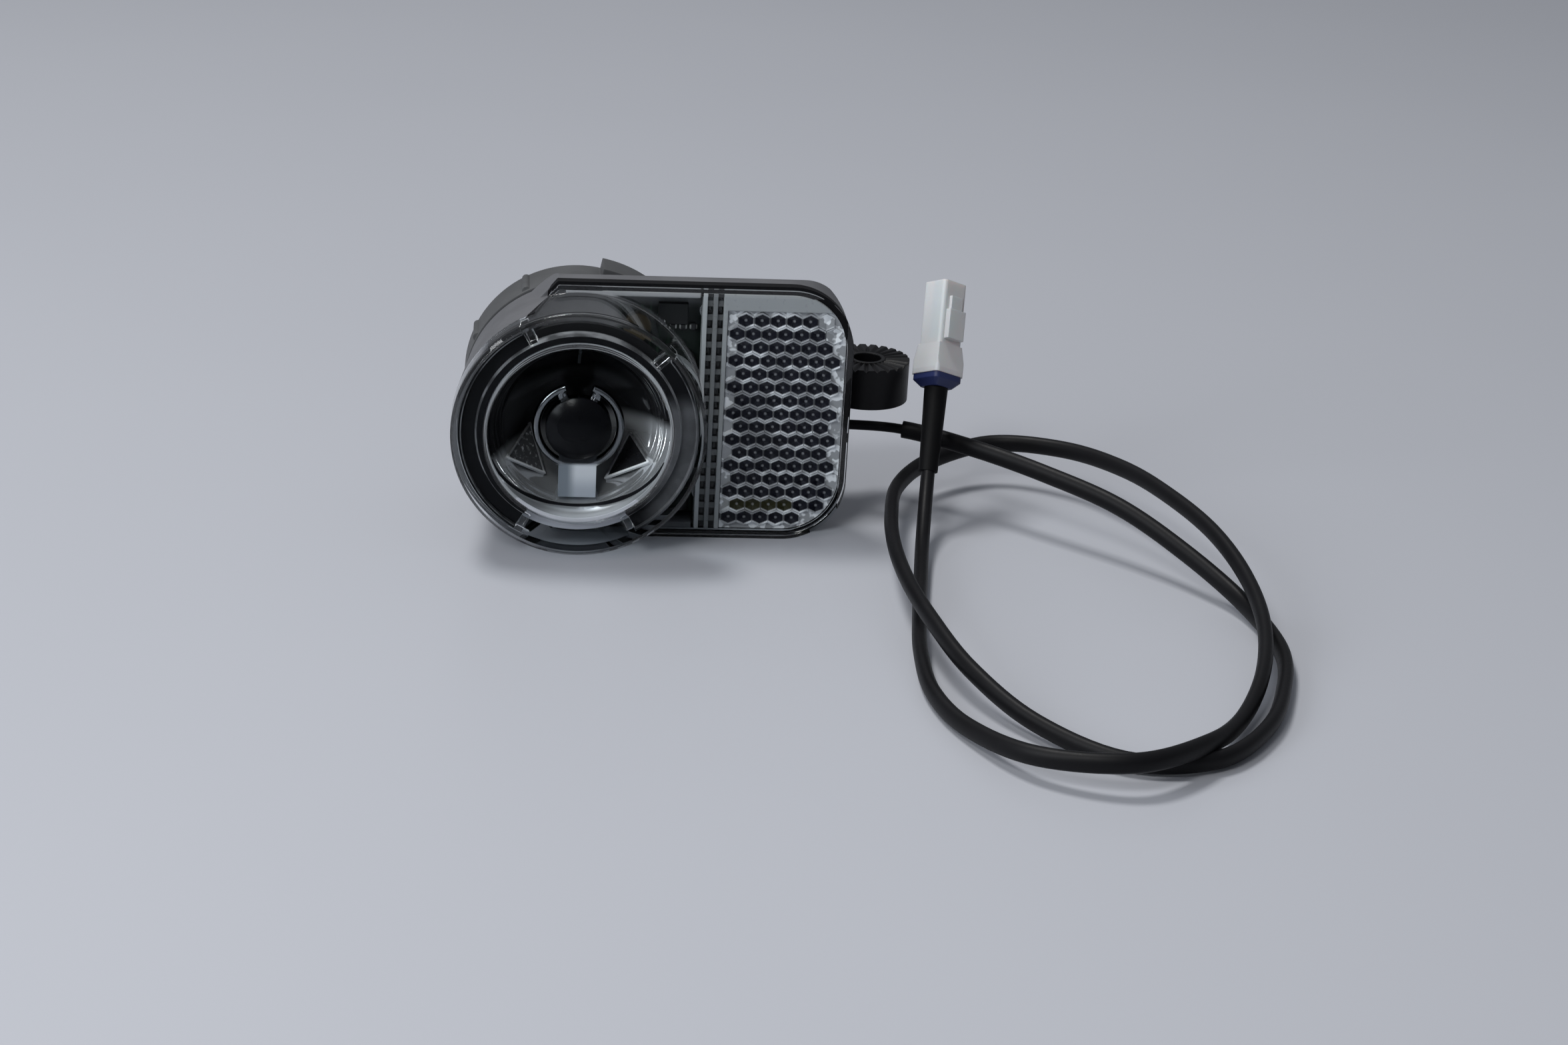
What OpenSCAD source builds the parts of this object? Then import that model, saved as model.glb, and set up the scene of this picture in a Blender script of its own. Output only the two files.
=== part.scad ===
// Bicycle headlight: round lens in a clear collar, retro-reflector beside it, rear rotary switch,
// tilting bracket eye and a looped lead with a two-way connector.
// X runs to the right as seen from the front, the light shines towards -Y, and Z = 0 is the table.
// Sizes are millimetres. Shapes are drawn round the lens axis and moved to the origin at the end.

/* [Lens and collar] */
// Outer radius of the clear collar round the lens
collar_r = 25.4; // [24.6:0.1:26.4]
// How far the collar stands out in front of the plate
collar_len = 14.5; // [13.5:0.1:16]
// Depth of the clear ring on the left, in front of the housing's shell
collar_rim = 5.9; // [5.2:0.1:6.4]
// Wall of the collar
collar_wall = 1.2; // [1:0.1:1.4]
// Width of the ring between the window and the collar's outside
ledge_w = 6.9; // [6.6:0.1:7.2]
// Thickness of the window
window_t = 1.5; // [1.2:0.1:1.8]
// Step from the collar's front face down to the window
window_step = 0.8; // [0.4:0.1:1]
// Thickness of the ring between the window and the collar
front_ring_t = 2; // [1.6:0.1:2.2]

/* [Body] */
// From the lens axis to the right side of the housing
body_right = 55.4; // [54.6:0.1:61]
// How far the box stands above and below the round part
box_lift = 1.35; // [0.8:0.05:2]
// Depth of the housing behind the plate's front face
body_depth = 15; // [14.5:0.1:18]
// Wall of the housing
wall = 1.9; // [1.9:0.1:2.2]
// How much the round part narrows for each millimetre towards the back
taper = 0.1; // [0.06:0.01:0.12]
// Corner radius of the box seen from the front
corner_r = 12.8; // [11:0.1:14]
// Rounding of the box's top back edge
edge_top = 8; // [5:0.5:9]
// Rounding of the box's bottom back edge
edge_bottom = 2.6; // [2.4:0.1:4]
// Rounding of the box's right back edge
edge_right = 9; // [6:0.5:10]
// Rounding of the round part's back edge
edge_round = 1.5; // [1:0.1:3]

/* [Clear cover] */
// Thickness of the clear plate
plate_t = 1.6; // [1.2:0.1:2]
// Depth of the cover's side walls
cover_depth = 3; // [2.6:0.1:3.4]
// Thickness of those walls
cover_wall = 1.2; // [1:0.1:1.6]
// Thickness of the gasket behind the side walls
gasket_t = 1.6; // [1.2:0.1:1.8]

/* [Reflector bowl and lamp] */
// Depth of the bowl from its rim to its vertex
bowl_depth = 19.4; // [18:0.1:19.8]
// Wall of the bowl
bowl_wall = 1.2; // [1:0.1:1.4]
// Radius of the dark dome in the middle
dome_r = 6.6; // [6:0.1:7]
// Height of that dome
dome_h = 2.3; // [1.8:0.1:2.4]
// Middle radius of the open ring round the dome
halo_r = 8.4; // [8.2:0.1:8.8]
// Thickness of the open ring
halo_w = 1.7; // [1.4:0.1:1.8]
// Opening of that ring at the top, in degrees
halo_gap = 38; // [24:1:60]
// Width of the carrier's post
post_w = 7.6; // [6:0.1:8.4]
// Thickness of the carrier's strip
strip_t = 1.3; // [1:0.1:1.4]

/* [Retro-reflector] */
// From the lens axis to the left edge of the retro-reflector
retro_left = 29.8; // [29:0.1:31]
// Bare band above the retro-reflector
retro_top_band = 3.75; // [3:0.05:5]
// Width of one cell across its flats
cell = 3.28; // [2.6:0.02:4]
// Seam between cells
cell_seam = 0.14; // [0.1:0.02:0.24]
// Depth of a cell's corner
cell_depth = 0.8; // [0.5:0.05:0.9]
// Thickness of the retro-reflector's plate
retro_t = 1.8; // [1.4:0.1:2]
// Width of the bar between lens side and retro-reflector
bar_w = 5.1; // [4.8:0.1:5.4]

/* [Rotary switch] */
// Radius of the knob
knob_r = 23.2; // [22:0.1:24]
// Depth of the knob
knob_len = 12.4; // [11.6:0.1:13]
// Wall of the knob
knob_wall = 1.8; // [1.5:0.1:2.2]
// Rounding of the knob's back edge
knob_edge = 2; // [1.6:0.1:3]
// Reach of the finger lug from the knob's axis
lug_reach = 25.8; // [25.2:0.1:26.4]
// Where the lug starts, in degrees clockwise from the top
lug_start = 11; // [0:1:20]
// Width of the lug in degrees
lug_angle = 26; // [20:1:40]
// Number of places round the knob, one of them the lug's
grip_places = 10; // [8:1:14]
// Radius of a grip rib
rib_r = 0.9; // [0.6:0.1:1.2]
// Radius of the spigot that the knob turns on
spigot_r = 7; // [6:0.1:7.4]

/* [Bracket] */
// From the housing's right side to the middle of the eye
eye_out = 6; // [5.2:0.1:10]
// From the plate's front face to the middle of the eye
eye_y = 25; // [25:0.1:28]
// Height of the eye and of the tilt axis over the lens axis
eye_lift = 0.6; // [-2:0.1:1.5]
// Outer radius of the eye
eye_r = 9; // [8:0.1:9.4]
// Radius of the eye's bolt hole
eye_bore_r = 3; // [2.5:0.05:3.3]
// Height of the eye
eye_h = 8.7; // [8:0.1:9.6]
// Number of teeth on the eye's top
teeth = 24; // [16:1:32]
// Radius of the trunnion that the bracket tilts on
trunnion_r = 4.95; // [4.4:0.05:5.2]
// Radius of the housing's boss round the trunnion
boss_r = 7.5; // [7:0.1:8]
// Length of that boss
boss_len = 14; // [12:0.5:15]
// Radius of the tilt screw's shank
screw_r = 2; // [1.5:0.1:2.2]

/* [Lead and connector] */
// Width of the flat lead
lead_w = 2.9; // [2.6:0.1:3.1]
// Height of the flat lead
lead_h = 3.8; // [3.4:0.1:4]
// Radius of the thin inner lead where it leaves the gland
core_r = 1.05; // [0.8:0.05:1.2]
// Length of the boot behind the connector
boot_len = 18; // [14:1:20]
// Radius of the boot at the connector
boot_r = 2.5; // [2.3:0.1:2.8]
// Width of the connector
plug_w = 6.5; // [6:0.1:7.4]
// Width of the connector's flared end
plug_flare_w = 8; // [7.4:0.1:8.6]
// Length of the connector's housing
plug_len = 20; // [18:0.5:24]
// Height of the seal below the connector
seal_h = 2.6; // [2:0.1:3]
// Turn of the connector about its own axis, in degrees
plug_turn = -45; // [-90:1:90]

/* [Fits] */
// Clearance between fixed pieces
fit = 0.15; // [0.1:0.05:0.2]
// Radial clearance of a turning fit
run = 0.05; // [0.02:0.01:0.08]
// Gap between pieces that move past each other
play = 0.4; // [0.3:0.05:0.5]

/* [Hidden] */
$fn = 64;
eps = 0.01;

// Front view of the body: round part and box share the lens axis
round_r = collar_r;
body_half = round_r + box_lift;
lens_z = body_half;
shoulder_x = 4.5;
slope_w = 9.5;
slope_h = 10.9;

// Depths behind the plate's front face
seat_y = cover_depth + gasket_t;
back_in = body_depth - wall;

// Round part: a tapered shell that reaches round the collar's left side
ring_end = collar_rim - collar_len;
shell_front = ring_end + fit;
function round_at(y) = round_r - taper * (y - shell_front);
shell_in = round_at(seat_y) - wall;

// Parting line on top and bottom, from the shell's front edge back to the housing's front
part_low = -collar_r * sin(24);
part_high = -collar_r * sin(13);
part_slope = (part_high - part_low) / (seat_y - shell_front);
part_seal = 0.1;
part_gap = 0.8;
function part_x(y, gap) = part_low + (y - shell_front) * part_slope + gap * sqrt(1 + part_slope * part_slope);

// Tongues of the housing inside the cover's walls
tongue_t = 1.2;
tongue_front = plate_t + 0.5;
tongue_root = 1.5;
tongue_top = body_half - cover_wall - fit;
tongues = [[-3, 24, 1], [14, 24, -1]];
gasket_out = 0.25;
gasket_in = cover_wall;

// Collar and window
collar_in = collar_r - collar_wall;
window_r = collar_r - ledge_w;
ledge_lip = 0.3;
window_fillet = 0.6;
collar_chamfer = 0.6;
window_front = -collar_len + window_step;
window_back = window_front + window_t;
ring_back = -collar_len + front_ring_t;

// Bowl: a parabola turned round the lens axis
bowl_clear = 0.2;
bowl_rim_gap = 0.5;
bowl_rim_r = window_r - bowl_clear;
bowl_rim_y = ring_back + bowl_rim_gap;
bowl_vertex = bowl_rim_y + bowl_depth;
bowl_steps = 12;
bowl_flange_t = 1.4;
bowl_flange_set = 3.2;
bowl_flange_y = bowl_rim_y + bowl_flange_set;
bowl_flange_root = 0.3;
bowl_flange_r = shell_in - 2 * fit;
bowl_lip = 0.4;
function bowl_radius(y) = bowl_rim_r * sqrt((bowl_vertex - y) / bowl_depth);

// Retainer ring in front of the bowl's flange
retainer_clear = 0.5;
retainer_in = window_r + retainer_clear;
retainer_out = collar_in - 2 * fit;
retainer_w = 1.3;
retainer_rim = 0.6;
retainer_step = 0.9;
joint_w = 1.6;
joint_gap = 0.15;
joint_turn = asin((joint_w / 2 + fit) / (retainer_in + retainer_w));

// Wide arcs of the retainer: the middle, clockwise from the top, and half the spread
retainer_arcs = [[271, 59.5], [99.5, 50]];
retainer_ends = [retainer_arcs[1][0] + retainer_arcs[1][1], retainer_arcs[0][0] - retainer_arcs[0][1]];

// Carrier of the light source: dome, open ring, post and strip to the heat sink
carrier_gap = 1;
dome_gap = 0.3;
dome_base = window_back + dome_gap + dome_h;
carrier_front = dome_base + carrier_gap;
hub_t = 2.2;
post_len = 8.4;
post_t = 1.3;
strip_out = dome_r + post_len;
strip_in = strip_out - strip_t;
slot_half = post_w / 2 + fit;
halo_y = carrier_front + halo_w / 2;
hook_r = halo_w / 2 - fit;
hook_turn = 6;
hub_grip = dome_r - 1;
chip_w = 3.2;
chip_t = 1;

// Driver board and what sits on it
board_t = 1.6;
board_set = 4.6;
board_y = seat_y + board_set;
board_left = -12;
board_right = retro_left - 0.8;
board_gap = 0.4;
board_bend = max(0, board_y + board_t - (back_in - (edge_top - wall)));
board_top = body_half - edge_top + sqrt(pow(edge_top - wall, 2) - pow(board_bend, 2)) - board_gap;
board_post_in = [10, 7];
board_posts = [
    for (s = [-1, 1]) each [[-8, s * (round_r - board_post_in[0])], [26, s * (body_half - board_post_in[1])]]
];
post_r = 2.2;
board_screw_r = 0.8;
board_head_r = 1.7;
board_head_h = 1.2;
capacitor_gap = 1;
capacitor_r = (board_y - fit - plate_t - capacitor_gap) / 2;
capacitor_at = [board_right - 8.7, -22];
capacitor_len = 11;
inductor_at = [board_right - 9, 8];
inductor_r = 4.2;
inductor_h = 4.6;
inductor_rim = 1;
disc_at = [board_right - 17.4, board_top - 7.4];
disc_r = 2.6;
disc_t = 2.6;
hall_w = 3;
hall_t = 0.6;
chip_at = [board_right - 10, board_top - 4.2];
chip_size = [6, 4.4, 1.3];
magnet_at = 14;

// Heat sink on the housing's floor
sink_floor = -(body_half - wall);
sink_left = -post_w / 2 - fit;
sink_right = 12;
sink_front = seat_y + 2 * fit;
sink_base = 2;
sink_gap = 0.4;
sink_back = board_y - sink_gap;
fin_t = 1;
fin_pitch = 2.2;
fin_top = -14;
fins = 4;
sink_head_r = (sink_back - sink_front) / 2 - fit / 3;
sink_screw_r = sink_head_r / 2;
sink_head_h = 1.3;
sink_screw_y = (sink_front + sink_back) / 2;
sink_hole_end = 0.4;
sink_screw_end = 0.8;

// Retro-reflector and its frame, inside the cover's walls
insert_inset = cover_wall + fit;
frame_inset = wall + fit;
retro_right = body_right - insert_inset;
retro_half = body_half - insert_inset;
retro_top = retro_half - retro_top_band;
cells_y = plate_t + fit;
retro_front = cells_y + cell_depth;
retro_back = retro_front + retro_t;
frame_t = 1.2;
frame_back = retro_back + frame_t;
frame_rib_t = 1.5;
frame_rib_end = 10;
frame_ribs_at = [retro_left + 8.2, retro_left + 17.2];
bar_right = retro_left - fit;
row_pitch = cell * sqrt(3) / 2;
cell_r = (cell - cell_seam) / sqrt(3);
retro_border = 0.25;
bar_ridge = 0.9;
bar_sunk = 0.9;
slot_w = 0.8;
slot_h = 1.5;
slot_pitch = 2.9;

// Knob, clip and cap on the housing's spigot
knob_front = body_depth + play;
knob_back = knob_front + knob_len;
hub_front = knob_front + 0.2;
hub_back = hub_front + 4.2;
hub_bore = spigot_r + run;
hub_r = hub_bore + 4;
pocket_r = hub_bore + 2.25;
clip_t = 0.8;
clip_front = hub_back + play;
clip_out = pocket_r - 0.7;
groove_r = spigot_r - 1;
spigot_back = clip_front + clip_t + 0.8;
cap_t = 1.8;
lug_root = knob_r - knob_wall / 2;
grip_front = knob_front + 1.2;
grip_back = knob_back - knob_edge - 0.4;
lug_edge = 1;
magnet_r = 2.5;
magnet_t = 2;
magnet_boss_r = magnet_r + 1;
rib_lead = 3;
rib_first = lug_start - rib_lead;

// Bracket: trunnion in the housing's boss, eye outside it
eye_x = body_right + eye_out;
eye_z = eye_lift;
boss_right = eye_x - 11.4;
boss_left = boss_right - boss_len;
boss_bore = trunnion_r + run;
web_half = 5.5;
flange_t = 2.2;
neck_half = eye_h / 2;
tooth = 0.8;
tooth_from = eye_bore_r + 0.8;
washer_t = 0.9;
washer_r = 6.3;
washer_gap = 0.1;
head_r = 3.8;
head_h = 2.4;
shank_len = 12;

// Cable gland under the boss
gland_gap = 0.05;
gland_flange_r = 3.1;
gland_z = eye_z - boss_r - gland_gap - gland_flange_r;
gland_y = eye_y;
gland_r = 2.6;
gland_block = 4;
gland_set = 2;
gland_mouth = boss_right - gland_set;
gland_in = 5.5;
gland_flange_t = 1.2;
gland_tip = 7;
gland_end = gland_mouth + gland_tip;

// Route of the lead from the gland to the boot, over the table
gland_tail = [40, gland_y, lens_z + gland_z + 1];
route = [
    [gland_end, gland_y, lens_z + gland_z], [70, 25, 15.7], [84.5, 15, 15.2], [98, 3, 14.2], [111, -9.5, 12.2],
    [122.5, -23, 7.7], [131.5, -38, 3.2], [134.1, -57.9, 2.2], [130.2, -75.8, 2.2], [123.2, -92.2, 2.2],
    [111.3, -105.1, 2.2], [94.5, -106, 2.2], [80.5, -93, 3.2], [71, -77.5, 6.2], [66, -60, 8.2],
    [63.5, -42, 8.7], [63, -24, 8.7], [64.5, -6, 8.2], [68, 12, 7.7], [76.5, 27, 7.7],
    [91, 35, 9.2], [106, 28, 10.7], [116, 13, 12.2], [122.5, -4, 12.7], [128, -21.5, 11.7],
    [131, -39, 9.2], [130.5, -57, 6.7], [126.2, -74.5, 4.4], [118.5, -90.5, 2.6], [108, -106, 5.2],
    [94, -115, 6.2], [78, -109.5, 4.7], [68.5, -94.5, 2.6], [64.1, -79.1, 2.2], [64, -61.4, 2.2],
    [66, -43.5, 2.2], [68.6, -24.9, 2.2], [71, -8, 4.2], [73.5, 7.5, 12.7]
];
lead_sides = 8;
lead_steps = 2;
core_rings = lead_steps;

// Connector at the end of the route, leaning back
plug_lean = 32;
plug_heading = 79;
plug_axis = [sin(plug_lean) * cos(plug_heading), sin(plug_lean) * sin(plug_heading), cos(plug_lean)];
plug_corner = 0.9;
flare_len = 6.5;
latch_w = 4.4;
latch_len = 6.3;
latch_h = 1.3;
latch_at = 7.4;
terminal_r = 0.9;
terminal_pitch = 3;
terminal_from = 8;
terminal_sink = 1.6;
boot_small_r = lead_h / 2 + 0.1;

// The object without its lead is centred over the origin
object_left = -collar_r;
object_right = eye_x + eye_r;
object_front = -collar_len;
object_back = max(eye_y + eye_r, knob_back);
to_origin = [-(object_left + object_right) / 2, -(object_front + object_back) / 2, 0];

// Smooth curve through the route's points
ends = concat([gland_tail], route, [route[len(route) - 1] + plug_axis * boot_len]);
function along(i, t) =
    let (a = ends[i], b = ends[i + 1], c = ends[i + 2], d = ends[i + 3])
    (2 * b + (c - a) * t + (2 * a - 5 * b + 4 * c - d) * t * t + (3 * b - a - 3 * c + d) * t * t * t) / 2;
function heading(i, t) =
    let (a = ends[i], b = ends[i + 1], c = ends[i + 2], d = ends[i + 3])
    unit((c - a) + 2 * (2 * a - 5 * b + 4 * c - d) * t + 3 * (3 * b - a - 3 * c + d) * t * t);
function unit(v) = v / norm(v);
function square_to(n, t) = unit(n - (n * t) * t);
last = len(route) - 2;
lead_points = [
    for (i = [0 : last], k = [0 : lead_steps - 1]) along(i, k / lead_steps), along(last, 1)
];
lead_heads = [
    for (i = [0 : last], k = [0 : lead_steps - 1]) heading(i, k / lead_steps), heading(last, 1)
];
rings = len(lead_points);
lead_ups = [
    for (i = 0, n = square_to([0, 0, 1], lead_heads[0]); i < rings;
         i = i + 1, n = i < rings ? square_to(n, lead_heads[i]) : n) n
];
function ring(i, w, h) = [
    for (k = [0 : lead_sides - 1])
    let (a = 360 * k / lead_sides, side = cross(lead_heads[i], lead_ups[i]))
    lead_points[i] + side * cos(a) * w / 2 + lead_ups[i] * sin(a) * h / 2
];

// Least gap of the lead to itself, from the middles of its rings
near = 6;
lead_gap = min([
    for (i = [0 : rings - 1], j = [i + near : 1 : rings - 1]) norm(lead_points[i] - lead_points[j])
]) - lead_h;
echo(lead_gap = lead_gap);

module swept(from, to, w, h) {
    count = to - from + 1;
    n = lead_sides;
    points = [for (i = [from : to]) each ring(i, w, h)];
    sides = [
        for (i = [0 : count - 2], k = [0 : n - 1])
        let (a = i * n + k, b = i * n + (k + 1) % n)
        each [[a, a + n, b], [b, a + n, b + n]]
    ];
    tail = [for (k = [1 : n - 2]) [0, k, k + 1]];
    nose = [for (k = [1 : n - 2]) [0, k + 1, k] + [1, 1, 1] * (count - 1) * n];
    polyhedron(points, concat(sides, tail, nose));
}

// Drawing planes round the lens axis
module placed() {
    translate(to_origin + [0, 0, lens_z]) children();
}
module on_table() {
    translate(to_origin) children();
}
module along_y(from, to) {
    translate([0, to, 0]) rotate([90, 0, 0]) linear_extrude(to - from) children();
}
module along_x(from, to) {
    translate([from, 0, 0]) rotate([90, 0, 90]) linear_extrude(to - from) children();
}
module turned_y() {
    rotate([-90, 0, 0]) rotate_extrude() children();
}
module rod_y(from, to, r) {
    translate([0, from, 0]) rotate([-90, 0, 0]) cylinder(h = to - from, r = r);
}
module rod_x(from, to, r) {
    translate([from, 0, 0]) rotate([0, 90, 0]) cylinder(h = to - from, r = r);
}
module at_front(x, z) {
    translate([x, 0, z]) children();
}
// Clockwise from the top, as seen from the front
module clock(angle) {
    rotate([0, angle, 0]) children();
}
module block(x, y, z) {
    translate([x[0], y[0], z[0]]) cube([x[1] - x[0], y[1] - y[0], z[1] - z[0]]);
}

// Outlines of the body, drawn in by an inset
module box_outline(inset) {
    half = body_half - inset;
    right = body_right - inset;
    r = corner_r - inset;
    polygon([
        [right - r, half], [-shoulder_x, half], [-shoulder_x - slope_w, half - slope_h],
        [-shoulder_x - slope_w, slope_h - half], [-shoulder_x, -half], [right - r, -half]
    ]);
    translate([0, r - half]) square([right, 2 * (half - r)]);
    for (s = [-1, 1]) translate([right - r, s * (half - r)]) circle(r = r);
}
module body_outline(inset, y) {
    circle(r = round_at(y) - inset);
    box_outline(inset);
}
module rounded_quarter(size, r) {
    square([size[0] - r, size[1]]);
    square([size[0], size[1] - r]);
    translate([size[0] - r, size[1] - r]) circle(r = r);
}
module side_profile(inset) {
    back = body_depth - inset;
    half = body_half - inset;
    rounded_quarter([back, half], edge_top - inset);
    mirror([0, 1]) rounded_quarter([back, half], edge_bottom - inset);
}
module top_profile(inset) {
    right = body_right - inset;
    back = body_depth - inset;
    translate([-round_r, 0]) square([round_r + eps, back]);
    rounded_quarter([right, back], edge_right - inset);
}
module round_profile(from, inset) {
    back = body_depth - inset;
    e = max(edge_round - inset, 0.3);
    r = round_at(back - e) - inset - e;
    corner = [for (a = [0 : 15 : 90]) [r + e * cos(a), back - e + e * sin(a)]];
    polygon(concat([[0, from], [round_at(from) - inset, from]], corner, [[0, back]]));
}
module body_solid(from, inset) {
    back = body_depth - inset;
    turned_y() round_profile(from, inset);
    intersection() {
        along_y(from, back) box_outline(inset);
        along_x(-round_r, body_right) side_profile(inset);
        translate([0, 0, -body_half]) linear_extrude(2 * body_half) top_profile(inset);
    }
}
module box_ring(from, to, outer, inner) {
    along_y(from, to) {
        difference() {
            box_outline(outer);
            box_outline(inner);
        }
    }
}
// Everything on the left of the parting line, moved over by a gap
module left_part(front, back, gap) {
    far = 2 * collar_r;
    linear_extrude(2 * far, center = true) {
        polygon([[-far, front], [part_x(front, gap), front], [part_x(back, gap), back], [-far, back]]);
    }
}

// Rear shell with the knob's spigot, the tilt boss, the gland block and the inner posts
module housing() {
    color("#4c4e51") placed() {
        difference() {
            union() {
                difference() {
                    body_solid(seat_y, 0);
                    body_solid(seat_y - 1, wall);
                }
                collar_shell();
                cover_tongues();
                rod_y(body_depth - wall, spigot_back, spigot_r);
                board_supports();
                frame_ribs();
                tilt_boss();
            }
            clip_groove();
            translate([0, eye_y, eye_z]) rod_x(boss_left - 1, boss_right + 1, boss_bore);
            translate([0, gland_y, gland_z]) rod_x(gland_mouth - gland_in, gland_mouth + 1, gland_r);
        }
    }
}
module collar_shell() {
    back = seat_y + eps;
    intersection() {
        turned_y() polygon([
            [shell_in, shell_front], [round_at(shell_front), shell_front], [round_at(back), back], [shell_in, back]
        ]);
        left_part(shell_front - 1, back + 1, 0);
    }
}
module cover_tongues() {
    for (t = tongues) {
        low = t[2] > 0 ? tongue_top - tongue_t : -tongue_top;
        block([t[0], t[1]], [tongue_front, seat_y + tongue_root], [low, low + tongue_t]);
    }
}
module board_supports() {
    for (p = board_posts) {
        at_front(p[0], p[1]) difference() {
            rod_y(board_y + board_t, back_in + eps, post_r);
            rod_y(board_y, back_in, board_screw_r + fit / 2);
        }
    }
}
module frame_ribs() {
    for (x = frame_ribs_at) {
        half = retro_half - frame_rib_end;
        block([x, x + frame_rib_t], [frame_back, back_in + eps], [-half, half]);
    }
}
module tilt_boss() {
    translate([0, eye_y, eye_z]) rod_x(boss_left, boss_right, boss_r);
    block([boss_left, boss_right], [body_depth - wall / 2, eye_y], [eye_z - web_half, eye_z + web_half]);
    block(
        [gland_mouth - gland_in - 4, gland_mouth],
        [body_depth - wall / 2, gland_y + gland_block],
        [gland_z - gland_block, eye_z - web_half + 1]
    );
}
module clip_groove() {
    turned_y() translate([groove_r, clip_front]) square([spigot_r, clip_t + 2 * run]);
}

// Clear front: plate, side walls, collar and window in one moulding
module front_cover() {
    color("#dfe6ea", 0.35) placed() {
        difference() {
            union() {
                difference() {
                    along_y(0, plate_t) box_outline(0);
                    rod_y(-1, plate_t + 1, collar_in);
                }
                box_ring(plate_t - eps, cover_depth, 0, cover_wall);
                turned_y() polygon([
                    [0, window_front], [window_r, window_front], [window_r, -collar_len],
                    [collar_r - collar_chamfer, -collar_len], [collar_r, collar_chamfer - collar_len],
                    [collar_r, plate_t],
                    [collar_in, plate_t], [collar_in, ring_back], [window_r + ledge_lip, ring_back],
                    [window_r - window_fillet, window_back], [0, window_back]
                ]);
                collar_joints();
            }
            left_part(ring_end, cover_depth + 1, part_gap);
            rod_y(plate_t, cover_depth + 1, collar_in);
        }
    }
}
// Webs between the retainer's arcs
module collar_joints() {
    from = retainer_in + retainer_w + joint_gap;
    for (arc = retainer_arcs, s = [-1, 1]) clock(arc[0] + s * (arc[1] + joint_turn)) {
        block([-joint_w / 2, joint_w / 2], [ring_back - eps, bowl_flange_y - fit], [from, collar_in + eps]);
    }
}

// Seal between cover and housing, with a strip along each parting line
module cover_gasket() {
    color("#101012") placed() {
        difference() {
            box_ring(cover_depth, seat_y, gasket_out, gasket_in);
            left_part(cover_depth - 1, seat_y + 1, part_seal);
        }
        intersection() {
            turned_y() polygon([
                [collar_in, shell_front], [round_at(shell_front) - gasket_out, shell_front],
                [round_at(seat_y) - gasket_out, seat_y], [collar_in - gasket_in, seat_y]
            ]);
            difference() {
                left_part(shell_front - 1, seat_y + 1, part_gap - part_seal);
                left_part(shell_front - 2, seat_y + 2, part_seal);
            }
        }
    }
}

// Bright bowl with a flange for the retainer and a slot for the carrier's strip
module reflector_bowl() {
    inner = [
        for (k = [0 : bowl_steps])
        let (y = bowl_rim_y + bowl_depth * (1 - pow(1 - k / bowl_steps, 2)))
        [bowl_radius(y), y]
    ];
    outer = [
        for (k = [bowl_steps : -1 : 1])
        let (y = bowl_rim_y + bowl_depth * (1 - pow(1 - k / bowl_steps, 2)))
        [bowl_radius(y) + bowl_wall * (bowl_rim_r - bowl_radius(y)) / bowl_rim_r, y + bowl_wall]
    ];
    color("#d5d8dc") placed() {
        difference() {
            union() {
                turned_y() polygon(concat(inner, outer, [[bowl_rim_r + bowl_lip, bowl_rim_y]]));
                turned_y() translate([bowl_radius(bowl_flange_y) + bowl_flange_root, bowl_flange_y])
                    square([bowl_flange_r - bowl_radius(bowl_flange_y) - bowl_flange_root, bowl_flange_t]);
            }
            block(
                [-slot_half, slot_half],
                [bowl_flange_y + bowl_flange_t, bowl_vertex],
                [-strip_out - fit, fit - strip_in]
            );
        }
    }
}

// Black ring that holds the bowl's flange, open at the bottom, with a wide stepped arc on each side
module optic_retainer() {
    front = ring_back + fit;
    tall = bowl_flange_y - front;
    open_mid = (retainer_ends[0] + retainer_ends[1]) / 2;
    color("#0c0c0e") placed() {
        difference() {
            turned_y() translate([retainer_in, front]) square([retainer_w, tall]);
            along_y(front - 1, bowl_flange_y + 1) sector(open_mid, retainer_ends[1] - open_mid);
        }
        for (arc = retainer_arcs) intersection() {
            turned_y() {
                translate([retainer_in + retainer_w - eps, front + retainer_step])
                    square([retainer_out - retainer_in - retainer_w, tall - retainer_step]);
                translate([retainer_out - retainer_rim, front]) square([retainer_rim, tall]);
            }
            along_y(front - 1, bowl_flange_y + 1) sector(arc[0], arc[1]);
        }
    }
}
// Slice of the front view about a clock angle
module sector(middle, half) {
    polygon([
        [0, 0],
        for (a = [middle - half, middle, middle + half]) 2 * collar_r * [sin(a), cos(a)]
    ]);
}

// Aluminium carrier: hub behind the dome, open round ring, post and strip to the heat sink
module led_carrier() {
    half = post_w / 2;
    color("#b9bcc0") placed() {
        rod_y(dome_base, dome_base + hub_t, dome_r);
        round_bar(halo_gap / 2, 360 - halo_gap, halo_r);
        for (s = [-1, 1]) clock(s * (halo_gap / 2 + hook_turn)) halo_hook();
        block([-half, half], [carrier_front, carrier_front + post_t], [-strip_out, -dome_r / 2]);
        difference() {
            block([-half, half], [carrier_front, sink_back], [-strip_out, -strip_in]);
            translate([0, sink_screw_y, -collar_r]) cylinder(h = collar_r, r = sink_screw_r + fit);
        }
    }
}
// Round bar bent from a clock angle through a turn
module round_bar(start, turn, r) {
    rotate([-90, 0, 0]) rotate([0, 0, start - 90]) rotate_extrude(angle = turn) {
        translate([r, halo_y]) circle(d = halo_w);
    }
}
// Bar from the open ring's end in to the hub
module halo_hook() {
    translate([0, halo_y, hub_grip]) cylinder(h = halo_r - hub_grip, r = hook_r);
}

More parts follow.
